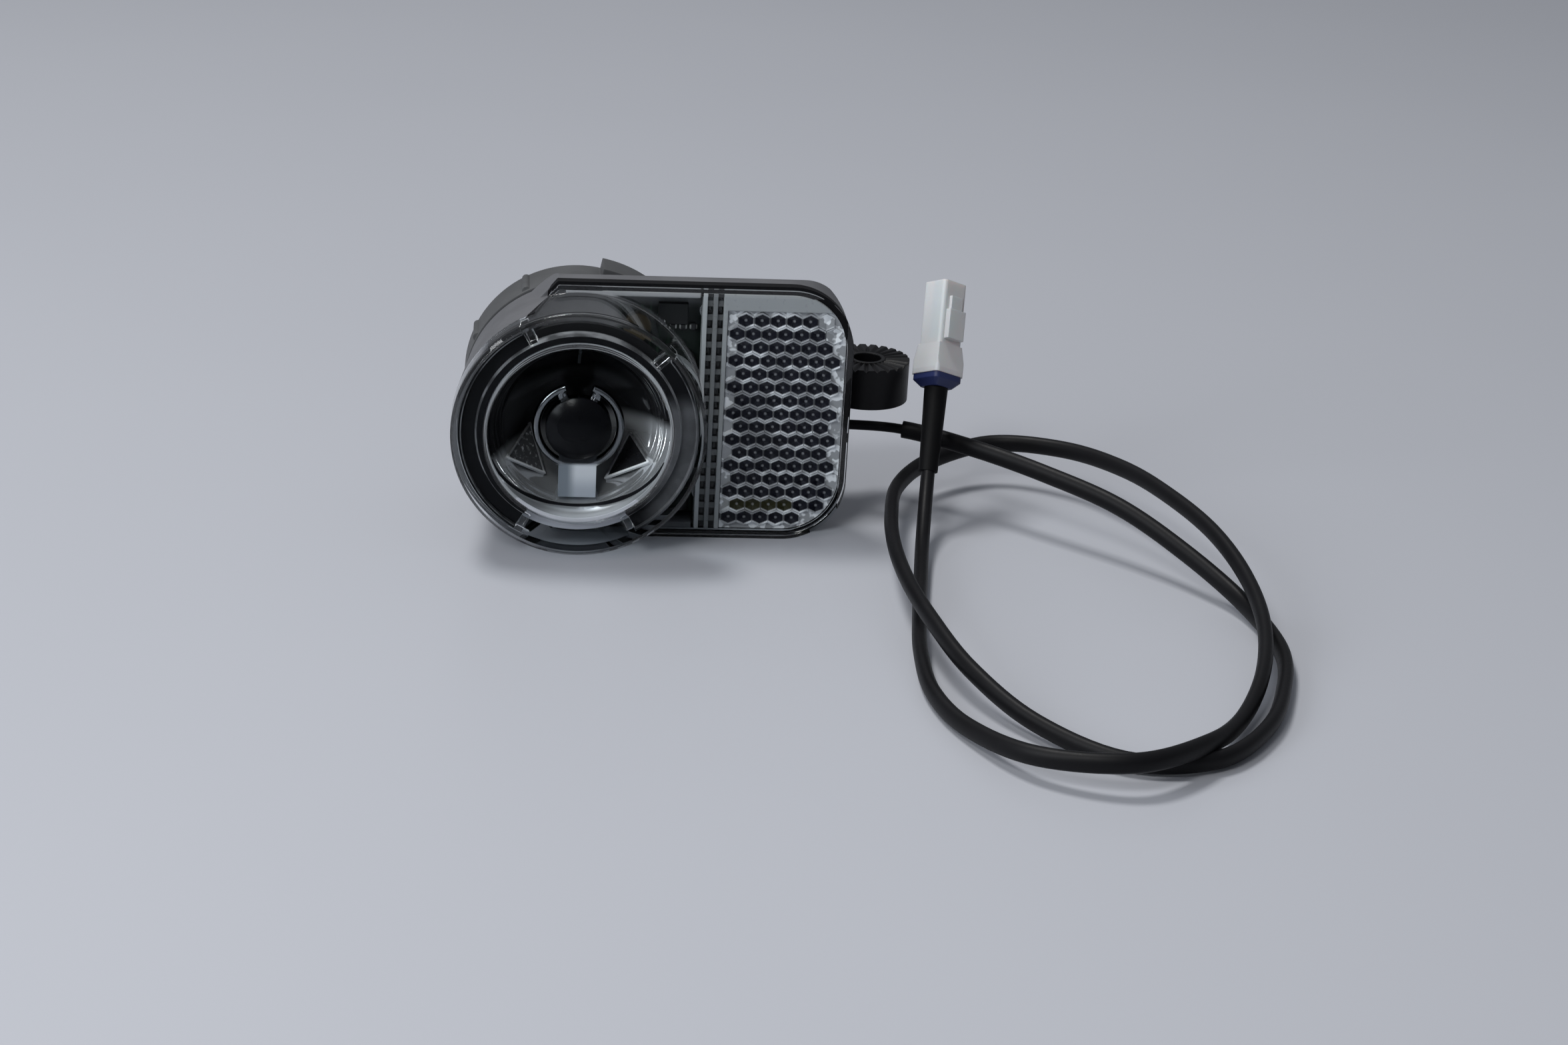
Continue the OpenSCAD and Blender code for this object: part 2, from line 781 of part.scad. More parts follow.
// Dark dome in front of the carrier's hub
module led_dome() {
    ball_r = (dome_r * dome_r + dome_h * dome_h) / (2 * dome_h);
    color("#08080a") placed() {
        intersection() {
            translate([0, dome_base - dome_h + ball_r, 0]) sphere(r = ball_r, $fn = 96);
            rod_y(dome_base - dome_h - 1, dome_base, dome_r);
        }
    }
}

// Light source on the back of the hub, facing the bowl
module led_chip() {
    from = dome_base + hub_t;
    color("#e8d27a") placed() {
        block([-chip_w / 2, chip_w / 2], [from, from + chip_t / 2], [-chip_w / 2, chip_w / 2]);
        translate([0, from + chip_t / 2, 0]) intersection() {
            sphere(r = chip_w / 2 - 0.2);
            rod_y(0, chip_w, chip_w);
        }
    }
}

// Finned sink on the housing's floor, with a pedestal under the carrier's strip
module heat_sink() {
    color("#a7abb0") placed() {
        difference() {
            union() {
                block([sink_left, sink_right], [sink_front, sink_back], [sink_floor, sink_floor + sink_base]);
                block([sink_left, -sink_left], [sink_front, sink_back], [sink_floor, -strip_out]);
            }
            translate([0, sink_screw_y, sink_floor + sink_hole_end]) {
                cylinder(h = body_half, r = sink_screw_r + fit / 2);
            }
        }
        for (k = [0 : fins - 1]) {
            x = sink_right - fin_t - k * fin_pitch;
            block([x, x + fin_t], [sink_front, sink_back], [sink_floor + sink_base - eps, fin_top]);
        }
    }
}

// Screw through the carrier's strip into the sink
module heat_sink_screw() {
    color("#8d9196") placed() {
        translate([0, sink_screw_y, -strip_in]) cylinder(h = sink_head_h, r = sink_head_r);
        translate([0, sink_screw_y, sink_floor + sink_screw_end]) {
            cylinder(h = -strip_in - sink_floor, r = sink_screw_r);
        }
    }
}

// Printed board across the back of the housing
module driver_board() {
    color("#16321f") placed() {
        difference() {
            along_y(board_y, board_y + board_t) {
                intersection() {
                    body_outline(wall + board_gap, board_y + board_t);
                    translate([board_left, -body_half])
                        square([board_right - board_left, body_half + board_top]);
                }
            }
            for (p = board_posts) at_front(p[0], p[1]) {
                rod_y(board_y - 1, board_y + board_t + 1, board_screw_r + fit);
            }
        }
    }
}
module board_screws() {
    color("#9a9ea3") placed() {
        for (p = board_posts) at_front(p[0], p[1]) {
            rod_y(board_y - board_head_h, board_y, board_head_r);
            rod_y(board_y - eps, back_in - 0.4, board_screw_r);
        }
    }
}
module standlight_capacitor() {
    color("#23262e") placed() {
        at_front(capacitor_at[0], capacitor_at[1]) translate([0, board_y - capacitor_r - fit, 0]) {
            cylinder(h = capacitor_len, r = capacitor_r);
        }
    }
}
module inductor() {
    color("#2b2a28") placed() at_front(inductor_at[0], inductor_at[1]) {
        rod_y(board_y - inductor_h, board_y - inductor_h + inductor_rim, inductor_r);
        rod_y(board_y - inductor_h, board_y, inductor_r - inductor_rim);
        rod_y(board_y - inductor_rim, board_y, inductor_r);
    }
}
module disc_capacitor() {
    color("#8a5a22") placed() at_front(disc_at[0], disc_at[1]) {
        rod_y(board_y - disc_t, board_y, disc_r);
    }
}
module driver_chip() {
    half = chip_size / 2;
    color("#141416") placed() at_front(chip_at[0], chip_at[1]) {
        block([-half[0], half[0]], [board_y - chip_size[2], board_y], [-half[1], half[1]]);
    }
}
module hall_sensor() {
    color("#18181a") placed() {
        at_front(0, magnet_at) {
            half = hall_w / 2;
            from = board_y + board_t;
            block([-half, half], [from, from + hall_t], [-half, half]);
        }
    }
}

// Retro-reflector: a plate with rows of three-faced corners, staggered like a honeycomb
module retro_outline(border) {
    intersection() {
        box_outline(insert_inset + border);
        translate([retro_left + border, -retro_half])
            square([retro_right - retro_left - 2 * border, retro_half + retro_top - border]);
    }
}
function in_corner(x, z, r) =
    let (dx = x - (retro_right - r), dz = abs(z) - (retro_half - r))
    dx > 0 && dz > 0 ? norm([dx, dz]) : 0;
function cell_fits(x, z) =
    let (m = cell / 2 + retro_border, r = corner_r - insert_inset)
    x - m >= retro_left && x + m <= retro_right && z + m <= retro_top && z - m >= -retro_half
    && in_corner(x, z, r) + m <= r;
module retro_reflector() {
    columns = ceil((retro_right - retro_left) / cell);
    rows = ceil((retro_top + retro_half) / row_pitch);
    color("#8e9296") placed() {
        along_y(retro_front, retro_back) retro_outline(0);
        for (j = [0 : rows], i = [0 : columns]) {
            x = retro_left + retro_border + cell * (i + 0.5 + ((j + 1) % 2) / 2);
            z = retro_top - retro_border - cell / 2 - j * row_pitch;
            if (cell_fits(x, z)) translate([x, retro_front, z]) corner_cell();
        }
    }
}
// One cell: six-sided, its top three square faces that meet in a hollow
module corner_cell() {
    sunk = 0.2;
    high = cell_depth;
    low = cell_depth * 0.4;
    base = [for (k = [0 : 5]) [cell_r * sin(60 * k), sunk, cell_r * cos(60 * k)]];
    top = [for (k = [0 : 5]) [cell_r * sin(60 * k), k % 2 == 0 ? -high : -low, cell_r * cos(60 * k)]];
    middle = [[0, -0.1, 0]];
    walls = [for (k = [0 : 5]) let (n = (k + 1) % 6) each [[k, n, 6 + k], [n, 6 + n, 6 + k]]];
    bottom = [for (k = [1 : 4]) [0, k + 1, k]];
    faces = [for (k = [0 : 5]) [12, 6 + k, 6 + (k + 1) % 6]];
    polyhedron(concat(base, top, middle), concat(walls, bottom, faces));
}

// Frame behind the retro-reflector, with the slotted bar on the lens side
module reflector_frame() {
    color("#1a1b1d") placed() {
        difference() {
            union() {
                along_y(retro_back, frame_back) {
                    intersection() {
                        box_outline(frame_inset);
                        translate([bar_right - bar_w, -body_half]) square([body_right, 2 * body_half]);
                    }
                }
                bar_strip(bar_right - bar_w, bar_w, cells_y + bar_sunk);
                for (x = [0, bar_w - bar_ridge, (bar_w - bar_ridge) / 2]) {
                    bar_strip(bar_right - bar_w + x, bar_ridge, cells_y);
                }
                along_y(cells_y, retro_back + eps) {
                    intersection() {
                        box_outline(insert_inset);
                        translate([bar_right - eps, retro_top + fit])
                            square([retro_right, retro_top_band]);
                    }
                }
            }
            bar_slots();
        }
    }
}
module bar_strip(x, w, from) {
    along_y(from, retro_back + eps) {
        intersection() {
            box_outline(insert_inset);
            translate([x, -body_half]) square([w, 2 * body_half]);
        }
    }
}
module bar_slots() {
    count = floor((2 * retro_half - 4) / slot_pitch);
    for (k = [0 : count - 1], s = [-1, 1]) {
        z = -retro_half + 2 + slot_pitch * (k + 0.5);
        x = bar_right - bar_w / 2 + s * (bar_w - bar_ridge) / 4;
        block(
            [x - slot_w / 2, x + slot_w / 2],
            [cells_y, cells_y + bar_sunk + 0.6],
            [z - slot_h / 2, z + slot_h / 2]
        );
    }
}

// Rear rotary switch: a cap with grip ribs and a finger lug
module switch_knob() {
    color("#47494c") placed() {
        difference() {
            union() {
                turned_y() {
                    difference() {
                        translate([0, knob_front]) rounded_quarter([knob_r, knob_len], knob_edge);
                        square([hub_bore, knob_back + 1]);
                    }
                }
                knob_lug();
                knob_ribs();
            }
            turned_y() translate([hub_r, 0]) square([knob_r - knob_wall - hub_r, knob_back - knob_wall]);
            turned_y() square([hub_r, hub_front]);
            turned_y() translate([0, hub_back]) square([pocket_r, knob_len]);
        }
        magnet_boss();
    }
}
module knob_lug() {
    rotate([-90, 0, 0]) rotate([0, 0, lug_start - 90]) rotate_extrude(angle = lug_angle) {
        translate([lug_root, grip_front]) {
            rounded_quarter([lug_reach - lug_root, grip_back - grip_front], lug_edge);
        }
    }
}
module knob_ribs() {
    for (k = [1 : grip_places - 1]) clock(rib_first - 360 * k / grip_places) {
        translate([0, 0, knob_r - rib_r / 3]) rod_y(grip_front, grip_back, rib_r);
    }
}
module magnet_boss() {
    at_front(0, magnet_at) {
        difference() {
            rod_y(hub_front, knob_back - knob_wall + eps, magnet_boss_r);
            rod_y(hub_front - 1, hub_front + magnet_t, magnet_r + fit / 2);
        }
    }
}
module knob_cap() {
    color("#3c3e41") placed() {
        turned_y() translate([0, knob_back - cap_t]) rounded_quarter([pocket_r - fit / 2, cap_t], 0.5);
    }
}
module knob_magnet() {
    color("#8b8f95") placed() at_front(0, magnet_at) {
        rod_y(hub_front, hub_front + magnet_t, magnet_r);
    }
}
// Open spring clip in the spigot's groove
module knob_clip() {
    color("#7e8288") placed() {
        difference() {
            turned_y() translate([groove_r + run, clip_front + run]) {
                square([clip_out - groove_r - run, clip_t]);
            }
            block([-2.4, 2.4], [0, knob_back], [-clip_out - 1, 0]);
        }
    }
}

// Black bracket: trunnion in the boss and a toothed eye outside it
module bracket_arm() {
    color("#121214") placed() {
        translate([0, eye_y, eye_z]) difference() {
            union() {
                rod_x(boss_left + play, boss_right + play, trunnion_r);
                rod_x(boss_right + play - eps, boss_right + play + flange_t, boss_r);
                block(
                    [boss_right + play + 0.5, eye_x - eye_bore_r - 2],
                    [-boss_r + 1.5, boss_r - 1.5],
                    [-neck_half, neck_half]
                );
                translate([eye_x, 0, -eye_h / 2]) cylinder(h = eye_h, r = eye_r);
            }
            translate([eye_x, 0, -eye_h]) cylinder(h = 2 * eye_h, r = eye_bore_r);
            rod_x(boss_left - 1, boss_left + shank_len + 1, screw_r + fit / 2);
            eye_teeth();
        }
    }
}
module eye_teeth() {
    for (k = [0 : teeth - 1]) translate([eye_x, 0, eye_h / 2]) rotate([0, 0, 360 * (k + 0.5) / teeth]) {
        translate([tooth_from, 0, 0]) rotate([45, 0, 0]) {
            translate([0, -tooth / 2, -tooth / 2]) cube([eye_r, tooth, tooth]);
        }
    }
}
module tilt_screw() {
    seat = boss_left - washer_gap - washer_t;
    color("#a3a7ac") placed() translate([0, eye_y, eye_z]) {
        difference() {
            rod_x(seat - head_h, seat, head_r);
            translate([seat - head_h - 1, 0, 0]) rotate([0, 90, 0]) cylinder(h = 2.4, r = 1.7, $fn = 6);
        }
        rod_x(seat - eps, boss_left + shank_len, screw_r);
    }
}
module spring_washer() {
    from = boss_left - washer_gap - washer_t;
    color("#b4b8bc") placed() translate([0, eye_y, eye_z]) {
        difference() {
            rod_x(from, from + washer_t, washer_r);
            rod_x(from - 1, from + washer_t + 1, screw_r + fit);
        }
    }
}

// Rubber gland in the block under the boss
module cable_gland() {
    color("#17171a") placed() translate([0, gland_y, gland_z]) {
        rod_x(gland_mouth - gland_in, gland_mouth, gland_r - fit / 3);
        rod_x(gland_mouth, gland_mouth + gland_flange_t, gland_flange_r);
        translate([gland_mouth + gland_flange_t, 0, 0]) rotate([0, 90, 0]) {
            cylinder(h = gland_end - gland_mouth - gland_flange_t, r1 = gland_r + 0.3, r2 = core_r + 0.6);
        }
    }
}
module lead_core() {
    color("#151517") on_table() swept(0, core_rings, 2 * core_r, 2 * core_r);
}
module lead_sheath() {
    color("#121215") on_table() swept(core_rings, rings - 1, lead_w, lead_h);
}

// Pieces at the end of the lead, drawn upright and then leaned over
module at_plug() {
    on_table() translate(route[len(route) - 1]) rotate([0, plug_lean, plug_heading]) children();
}
module cable_boot() {
    color("#141417") at_plug() cylinder(h = boot_len, r1 = boot_small_r, r2 = boot_r);
}
module connector_seal() {
    color("#1c2550") at_plug() translate([0, 0, boot_len]) rotate_extrude() {
        polygon([
            [0, 0], [boot_r, 0], [plug_flare_w / 2 - 0.5, seal_h * 0.6],
            [plug_flare_w / 2 - 0.5, seal_h], [0, seal_h]
        ]);
    }
}
module plug_profile() {
    w = plug_w / 2;
    f = plug_flare_w / 2;
    polygon([
        [-f, 0], [f, 0], [f, 1], [w, flare_len], [w, plug_len], [-w, plug_len], [-w, flare_len], [-f, 1]
    ]);
}
module plug_section(w) {
    r = plug_corner;
    square([w - 2 * r, w], center = true);
    square([w, w - 2 * r], center = true);
    for (x = [-1, 1], y = [-1, 1]) translate([x, y] * (w / 2 - r)) circle(r = r);
}
module connector_body() {
    color("#e9ebee") at_plug() translate([0, 0, boot_len + seal_h]) rotate([0, 0, plug_turn]) {
        difference() {
            union() {
                intersection() {
                    rotate([90, 0, 0]) linear_extrude(2 * plug_w, center = true) plug_profile();
                    rotate([90, 0, 90]) linear_extrude(2 * plug_w, center = true) plug_profile();
                    union() {
                        linear_extrude(flare_len) plug_section(plug_flare_w);
                        linear_extrude(plug_len) plug_section(plug_w);
                    }
                }
                plug_latch();
            }
            for (s = [-1, 1]) translate([s * terminal_pitch / 2, 0, terminal_from]) {
                cylinder(h = plug_len, r = terminal_r + fit / 2);
            }
        }
    }
}
// Latch tongue with a catch, moulded in one with the connector
module plug_latch() {
    tongue = 0.8;
    translate([-latch_w / 2, -plug_w / 2 - latch_h, latch_at]) cube([latch_w, latch_h + 0.5, latch_len]);
    translate([-latch_w / 2 + 0.6, -plug_w / 2 - tongue, latch_at + latch_len - eps]) {
        cube([latch_w - 1.2, tongue + 0.5, 3]);
    }
}
module connector_terminals() {
    color("#b99a4a") at_plug() translate([0, 0, boot_len + seal_h]) rotate([0, 0, plug_turn]) {
        for (s = [-1, 1]) translate([s * terminal_pitch / 2, 0, terminal_from]) {
            difference() {
                cylinder(h = plug_len - terminal_from - terminal_sink, r = terminal_r);
                translate([0, 0, 2]) cylinder(h = plug_len, r = terminal_r - 0.35);
            }
        }
    }
}

housing();
front_cover();
cover_gasket();
reflector_bowl();
optic_retainer();
led_carrier();
led_dome();
led_chip();
heat_sink();
heat_sink_screw();
driver_board();
board_screws();
standlight_capacitor();
inductor();
disc_capacitor();
driver_chip();
hall_sensor();
retro_reflector();
reflector_frame();
switch_knob();
knob_cap();
knob_magnet();
knob_clip();
bracket_arm();
tilt_screw();
spring_washer();
cable_gland();
lead_core();
lead_sheath();
cable_boot();
connector_seal();
connector_body();
connector_terminals();
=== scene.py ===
"""Bicycle headlight on a pale table: clear collar over a bowl, corner-cell reflector and looped lead."""
import math

import bpy
from mathutils import Matrix, Vector


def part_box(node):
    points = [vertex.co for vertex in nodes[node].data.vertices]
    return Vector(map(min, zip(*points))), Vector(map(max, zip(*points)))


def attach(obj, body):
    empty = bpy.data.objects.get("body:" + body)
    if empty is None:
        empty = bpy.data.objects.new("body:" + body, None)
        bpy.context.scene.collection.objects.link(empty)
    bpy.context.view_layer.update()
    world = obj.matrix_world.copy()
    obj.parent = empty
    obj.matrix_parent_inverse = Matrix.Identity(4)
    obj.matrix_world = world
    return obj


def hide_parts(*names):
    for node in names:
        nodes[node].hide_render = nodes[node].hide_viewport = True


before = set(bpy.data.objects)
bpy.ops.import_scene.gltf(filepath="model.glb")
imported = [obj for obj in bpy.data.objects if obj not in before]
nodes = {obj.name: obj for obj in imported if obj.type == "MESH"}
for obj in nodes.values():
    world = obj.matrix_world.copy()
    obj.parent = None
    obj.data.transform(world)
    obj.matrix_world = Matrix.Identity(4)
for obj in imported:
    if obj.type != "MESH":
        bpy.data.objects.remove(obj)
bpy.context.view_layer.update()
scene = bpy.context.scene
scene.view_settings.view_transform = "Standard"
bpy.ops.object.select_all(action="DESELECT")


# Sizes in mm

MM = 0.001
AXIS_X, PLATE_Y, AXIS_Z = -22.5, -9.75, 26.75
BOWL_RIM, BOWL_DEPTH, BOWL_VERTEX, BOWL_WALL = 18.3, 19.4, 7.4, 1.2
CELL_PITCH, CELL_FIRST = 3.28, (31.69, 16.92)
CHIP_ROW, CHIP_PITCH, CHIP_COUNT = (16.9, 8.75, 16.1), 2.1, 4
CHIP_CORE, CHIP_PAD = (0.96, 0.8, 0.85), 0.3


def at(x, y, z):
    """A point in mm from the lens axis, the plate's front face and the table."""
    return Vector((x + AXIS_X, y + PLATE_Y, z)) * MM


def lens(x, y, z):
    """A point in mm from the lens axis and the plate's front face."""
    return at(x, y, z + AXIS_Z)


# Camera, with the photograph's width and the focal length in pixels

PHOTO_WIDTH, FOCAL_LENGTH = 2352, 4400
SENSOR_WIDTH = 36
CAMERA_PLACE = (-15.17, -560.37, 226.97)
CAMERA_TURN = (-5.94, 21.62, 3.27)


def add_camera():
    azimuth, elevation, roll = (math.radians(angle) for angle in CAMERA_TURN)
    back = Vector((
        math.sin(azimuth) * math.cos(elevation),
        -math.cos(azimuth) * math.cos(elevation),
        math.sin(elevation),
    ))
    right = Vector((math.cos(azimuth), math.sin(azimuth), 0))
    up = back.cross(right)
    side = right * math.cos(roll) + up * math.sin(roll)
    top = up * math.cos(roll) - right * math.sin(roll)
    data = bpy.data.cameras.new("camera")
    data.sensor_fit = "HORIZONTAL"
    data.sensor_width = SENSOR_WIDTH
    data.lens = SENSOR_WIDTH * FOCAL_LENGTH / PHOTO_WIDTH
    data.clip_start = 0.01
    camera = bpy.data.objects.new("camera", data)
    scene.collection.objects.link(camera)
    turn = Matrix((side, top, back)).transposed().to_4x4()
    camera.matrix_world = Matrix.Translation(at(*CAMERA_PLACE)) @ turn
    scene.camera = camera


add_camera()


# Materials, with places, depths and edges in mm

class Value:
    """A socket of a material, so that sums of sockets are written as sums."""

    def __init__(self, finish, socket):
        self.finish = finish
        self.socket = socket

    def apply(self, operation, *inputs):
        return self.finish.node("Math", {"operation": operation}, dict(enumerate(inputs)))

    def __add__(self, other):
        return self.apply("ADD", self, other)

    __radd__ = __add__

    def __sub__(self, other):
        return self.apply("SUBTRACT", self, other)

    def __rsub__(self, other):
        return self.apply("SUBTRACT", other, self)

    def __mul__(self, other):
        return self.apply("MULTIPLY", self, other)

    def __gt__(self, other):
        return self.apply("GREATER_THAN", self, other)

    def __lt__(self, other):
        return self.apply("LESS_THAN", self, other)

    def __abs__(self):
        return self.apply("ABSOLUTE", self)

    def root(self):
        return self.apply("SQRT", self)

    def max(self, other):
        return self.apply("MAXIMUM", self, other)

    def between(self, low, high):
        return (self > low) * (self < high)

    def wrap(self, step):
        """Distance from the nearest multiple of step."""
        return self.apply("PINGPONG", self, step / 2)


class Finish:
    """One material: a Principled shader and what feeds it."""

    def __init__(self, name, **sockets):
        self.name = name
        self.material = bpy.data.materials.new(name)
        self.material.use_nodes = True
        self.tree = self.material.node_tree
        self.shader = self.tree.nodes["Principled BSDF"]
        for key, value in sockets.items():
            self.set(key.replace("_", " "), value)

    def node(self, kind, settings=None, inputs=None, output=0):
        made = self.tree.nodes.new("ShaderNode" + kind)
        for key, value in (settings or {}).items():
            setattr(made, key, value)
        for key, value in (inputs or {}).items():
            self.feed(made.inputs[key], value)
        return Value(self, made.outputs[output])

    def outputs(self, kind, names, inputs=None):
        """Several outputs of one node."""
        made = self.node(kind, inputs=inputs).socket.node
        return [Value(self, made.outputs[name]) for name in names]

    def feed(self, socket, value):
        """Links a value, or sets a number or a colour of three parts."""
        if isinstance(value, Value):
            self.tree.links.new(value.socket, socket)
        elif isinstance(value, tuple):
            socket.default_value = (*value, 1)
        else:
            socket.default_value = value

    def set(self, name, value):
        self.feed(self.shader.inputs[name], value)

    def place(self):
        return self.node("TexCoord", output="Object")

    def axes(self):
        return [part * (1 / MM) for part in self.outputs("SeparateXYZ", "XYZ", {0: self.place()})]

    def from_lens(self):
        """Place from the lens axis and the plate's front face, and the distance from the axis."""
        x, y, z = self.axes()
        across, deep, above = x - AXIS_X, y - PLATE_Y, z - AXIS_Z
        return across, deep, above, (across * across + above * above).root()

    def noise(self, scale, detail=2.0, rough=0.5):
        inputs = {"Vector": self.place(), "Scale": scale, "Detail": detail, "Roughness": rough}
        return self.node("TexNoise", inputs=inputs)

    def ramp(self, value, low, high, start=0.0, end=1.0):
        inputs = {"Value": value, "From Min": low, "From Max": high, "To Min": start, "To Max": end}
        return self.node("MapRange", {"interpolation_type": "SMOOTHSTEP"}, inputs)

    def mix(self, share, first, second):
        return self.node("Mix", {"data_type": "RGBA"}, {0: share, 6: first, 7: second}, 2)

    def bump(self, height, strength, depth, edge=0.0):
        inputs = {"Height": height, "Strength": strength, "Distance": depth * MM}
        if edge:
            inputs["Normal"] = self.rounded(edge)
        self.set("Normal", self.node("Bump", inputs=inputs))

    def rounded(self, radius):
        return self.node("Bevel", {"samples": 6}, {"Radius": radius * MM})

    def soften(self, radius):
        self.set("Normal", self.rounded(radius))


def toned(colour, factor):
    return tuple(min(1, part * factor) for part in colour)


def moulded(name, colour, roughness, grain=2600, depth=0.03, edge=0.3, mottle=0.12, **rest):
    """Moulded plastic or rubber: fine spark grain, faint cloudiness and rounded edges."""
    finish = Finish(name, **rest)
    fine = finish.noise(grain, 3)
    cloud = finish.noise(90, 4, 0.6)
    dark, light = toned(colour, 1 - mottle), toned(colour, 1 + mottle)
    finish.set("Base Color", finish.mix(finish.ramp(cloud, 0.3, 0.7), dark, light))
    finish.set("Roughness", roughness + (fine - 0.5) * 0.12 + (cloud - 0.5) * 0.14)
    finish.bump(fine, 0.35, depth, edge)
    return finish


def metal(name, colour, roughness):
    """Bare metal with a fine grain."""
    finish = Finish(name, Metallic=1.0)
    fine = finish.noise(900, 4, 0.6)
    finish.set("Base Color", finish.mix(fine, toned(colour, 0.82), colour))
    finish.set("Roughness", roughness + (fine - 0.5) * 0.25)
    finish.bump(fine, 0.2, 0.02, 0.2)
    return finish


def housing_finish():
    """Satin grey moulding, painted paler on the lip that shows through the clear cover, as a painted
    reflection.
    """
    finish = moulded("housing_grey", (0.1, 0.102, 0.11), 0.58, edge=0.5, Specular_IOR_Level=0.25)
    across, deep, above, _ = finish.from_lens()
    inside = (deep < 5.2) * across.between(-3.5, 30) * (above < 25.6)
    # The paler lip is a painted reflection of the clear wall above it.
    lip = inside * finish.ramp(above, 17, 24.2, 0.1, 1.0)
    plain = Value(finish, finish.shader.inputs["Base Color"].links[0].from_socket)
    finish.set("Base Color", finish.mix(lip, plain, (0.38, 0.38, 0.39)))
    return finish


def clear_cover_finish():
    """Clear moulding: flat panes that are seen straight through, glass on the collar, steps and edges."""
    finish = Finish("clear_cover", Transmission_Weight=1.0, IOR=1.46, Roughness=0.0)
    finish.set("Base Color", (0.95, 0.96, 0.965))
    finish.soften(0.3)
    across, deep, above, reach = finish.from_lens()
    step = reach.between(18.1, 19)
    window = (deep < -11.5) * (reach < 24.3) * (1 - step)
    beside = reach > 25.9
    pane = deep.between(-0.2, 1.8) * (abs(above) < 25.2) * (across < 53.9) * beside
    walls = deep.between(0.6, 2.9) * (above > 23.5) * beside
    rays = ("Is Shadow Ray", "Is Diffuse Ray", "Is Glossy Ray", "Ray Length")
    shadow, diffuse, glossy, length = finish.outputs("LightPath", rays)
    straight = shadow.max(diffuse).max(glossy * (length > 3 * MM))
    share = straight.max(window).max(pane).max(walls)
    glass = Value(finish, finish.shader.outputs[0])
    through = finish.node("BsdfTransparent", inputs={"Color": (0.93, 0.945, 0.95)})
    both = finish.node("MixShader", inputs={0: share, 1: glass, 2: through})
    finish.feed(finish.tree.nodes["Material Output"].inputs["Surface"], both)
    return finish


def dome_finish():
    """Polished black dome with faint flow marks."""
    finish = Finish("dome_black", Specular_IOR_Level=0.12)
    colour = (0.003, 0.003, 0.004)
    flow = finish.noise(150, 3)
    finish.set("Base Color", finish.mix(flow, toned(colour, 0.7), toned(colour, 1.3)))
    finish.set("Roughness", 0.24 + (flow - 0.5) * 0.06)
    finish.soften(0.2)
    return finish


def retainer_finish():
    """Glossy black ring with pale lines where its steps meet as painted highlights, rougher low on the right
    with a painted grey reflection.
    """
    finish = Finish("retainer_black", Specular_IOR_Level=0.1)
    across, _, above, reach = finish.from_lens()
    flow = finish.noise(150, 3)
    # Pale lines at the two steps: painted highlights.
    inner = finish.ramp(abs(reach - 20.4), 0.12, 0.24, 1.0, 0.0)
    outer = finish.ramp(abs(reach - 23.4), 0.08, 0.18, 0.6, 0.0)
    line = inner.max(outer) * finish.ramp(flow, 0.38, 0.6, 0.25, 1.0)
    # Low on the right: a painted grey reflection, also made rougher.
    dull_painted_reflection = finish.ramp(across, 12, 18) * finish.ramp(above, 4, 9, 1.0, 0.0) * flow
    black = finish.mix(dull_painted_reflection, (0.005, 0.005, 0.006), (0.16, 0.16, 0.17))
    finish.set("Base Color", finish.mix(line, black, (0.24, 0.24, 0.25)))
    finish.set("Roughness", 0.12 + (flow - 0.5) * 0.06 + dull_painted_reflection * 0.3)
    finish.soften(0.2)
    return finish


def bowl_finish():
    """Metallised below and on the right and painted black above as a dark reflection, with the mould's seam;
    grey behind; pale at the rim and paler low down as painted light; a painted highlight on the lower band,
    a painted shadow in its fold and a painted reflection on the right of the inner wall.
    """
    finish = Finish("bowl_coat", Specular_IOR_Level=0.1)
    across, deep, above, reach = finish.from_lens()
    # The black upper part is a painted dark reflection.
    bright = finish.ramp(above - across * 0.22, -6, -1, 1.0, 0.0)
    seam = (abs(across) < 0.3) * (above > 10)
    fold = reach - across * across * 0.0055 - 16.65
    # Dark line in the fold of the flutes: a painted shadow.
    painted_fold_shadow = finish.ramp(abs(fold), 0.16, 0.3, 1.0, 0.0) * (above < -6)
    band = finish.ramp(fold, 0.2, 0.5) * (above < -4)
    wall = deep - (BOWL_VERTEX - reach * reach * (BOWL_DEPTH / BOWL_RIM ** 2))
    behind = wall > BOWL_WALL * 0.5
    rim = reach > BOWL_RIM - 0.1
    # Flange painted black above: a painted dark reflection.
    flange = (reach > 19.2) * (above > -5)
    ripple = finish.noise(90, 2)
    stain = finish.ramp(finish.noise(140, 2), 0.35, 0.6, 0.0, 0.22)
    dark = finish.mix(seam, (0.006, 0.006, 0.007), (0.06, 0.065, 0.07))
    # The band is brightest near the middle and greyer to the sides: a painted highlight.
    away_from_painted_highlight = finish.ramp(abs(across - 2), 4, 11)
    silver = finish.mix(away_from_painted_highlight, (0.92, 0.93, 0.95), (0.34, 0.345, 0.355))
    silver = finish.mix(stain, silver, (0.12, 0.12, 0.13))
    # Inner wall paler on the right: a painted reflection.
    inner = finish.mix(finish.ramp(across, 11, 15), (0.6, 0.605, 0.62), (0.85, 0.86, 0.88))
    # The rim is paler low down: painted light.
    edge = finish.mix(above < -14, (0.36, 0.37, 0.38), (0.6, 0.6, 0.64))
    coat = finish.mix(bright, dark, finish.mix(band, inner, silver))
    coat = finish.mix(painted_fold_shadow, coat, (0.01, 0.01, 0.012))
    coat = finish.mix(behind, coat, (0.55, 0.55, 0.57))
    coat = finish.mix(rim, coat, edge)
    finish.set("Base Color", finish.mix(flange, coat, (0.012, 0.012, 0.013)))
    front = 1 - behind.max(rim)
    finish.set("Metallic", bright * front * (1 - painted_fold_shadow) * (0.76 - band * 0.2))
    finish.set("Roughness", 0.38 - front * 0.32 + ripple * 0.05 + band * 0.12)
    return finish


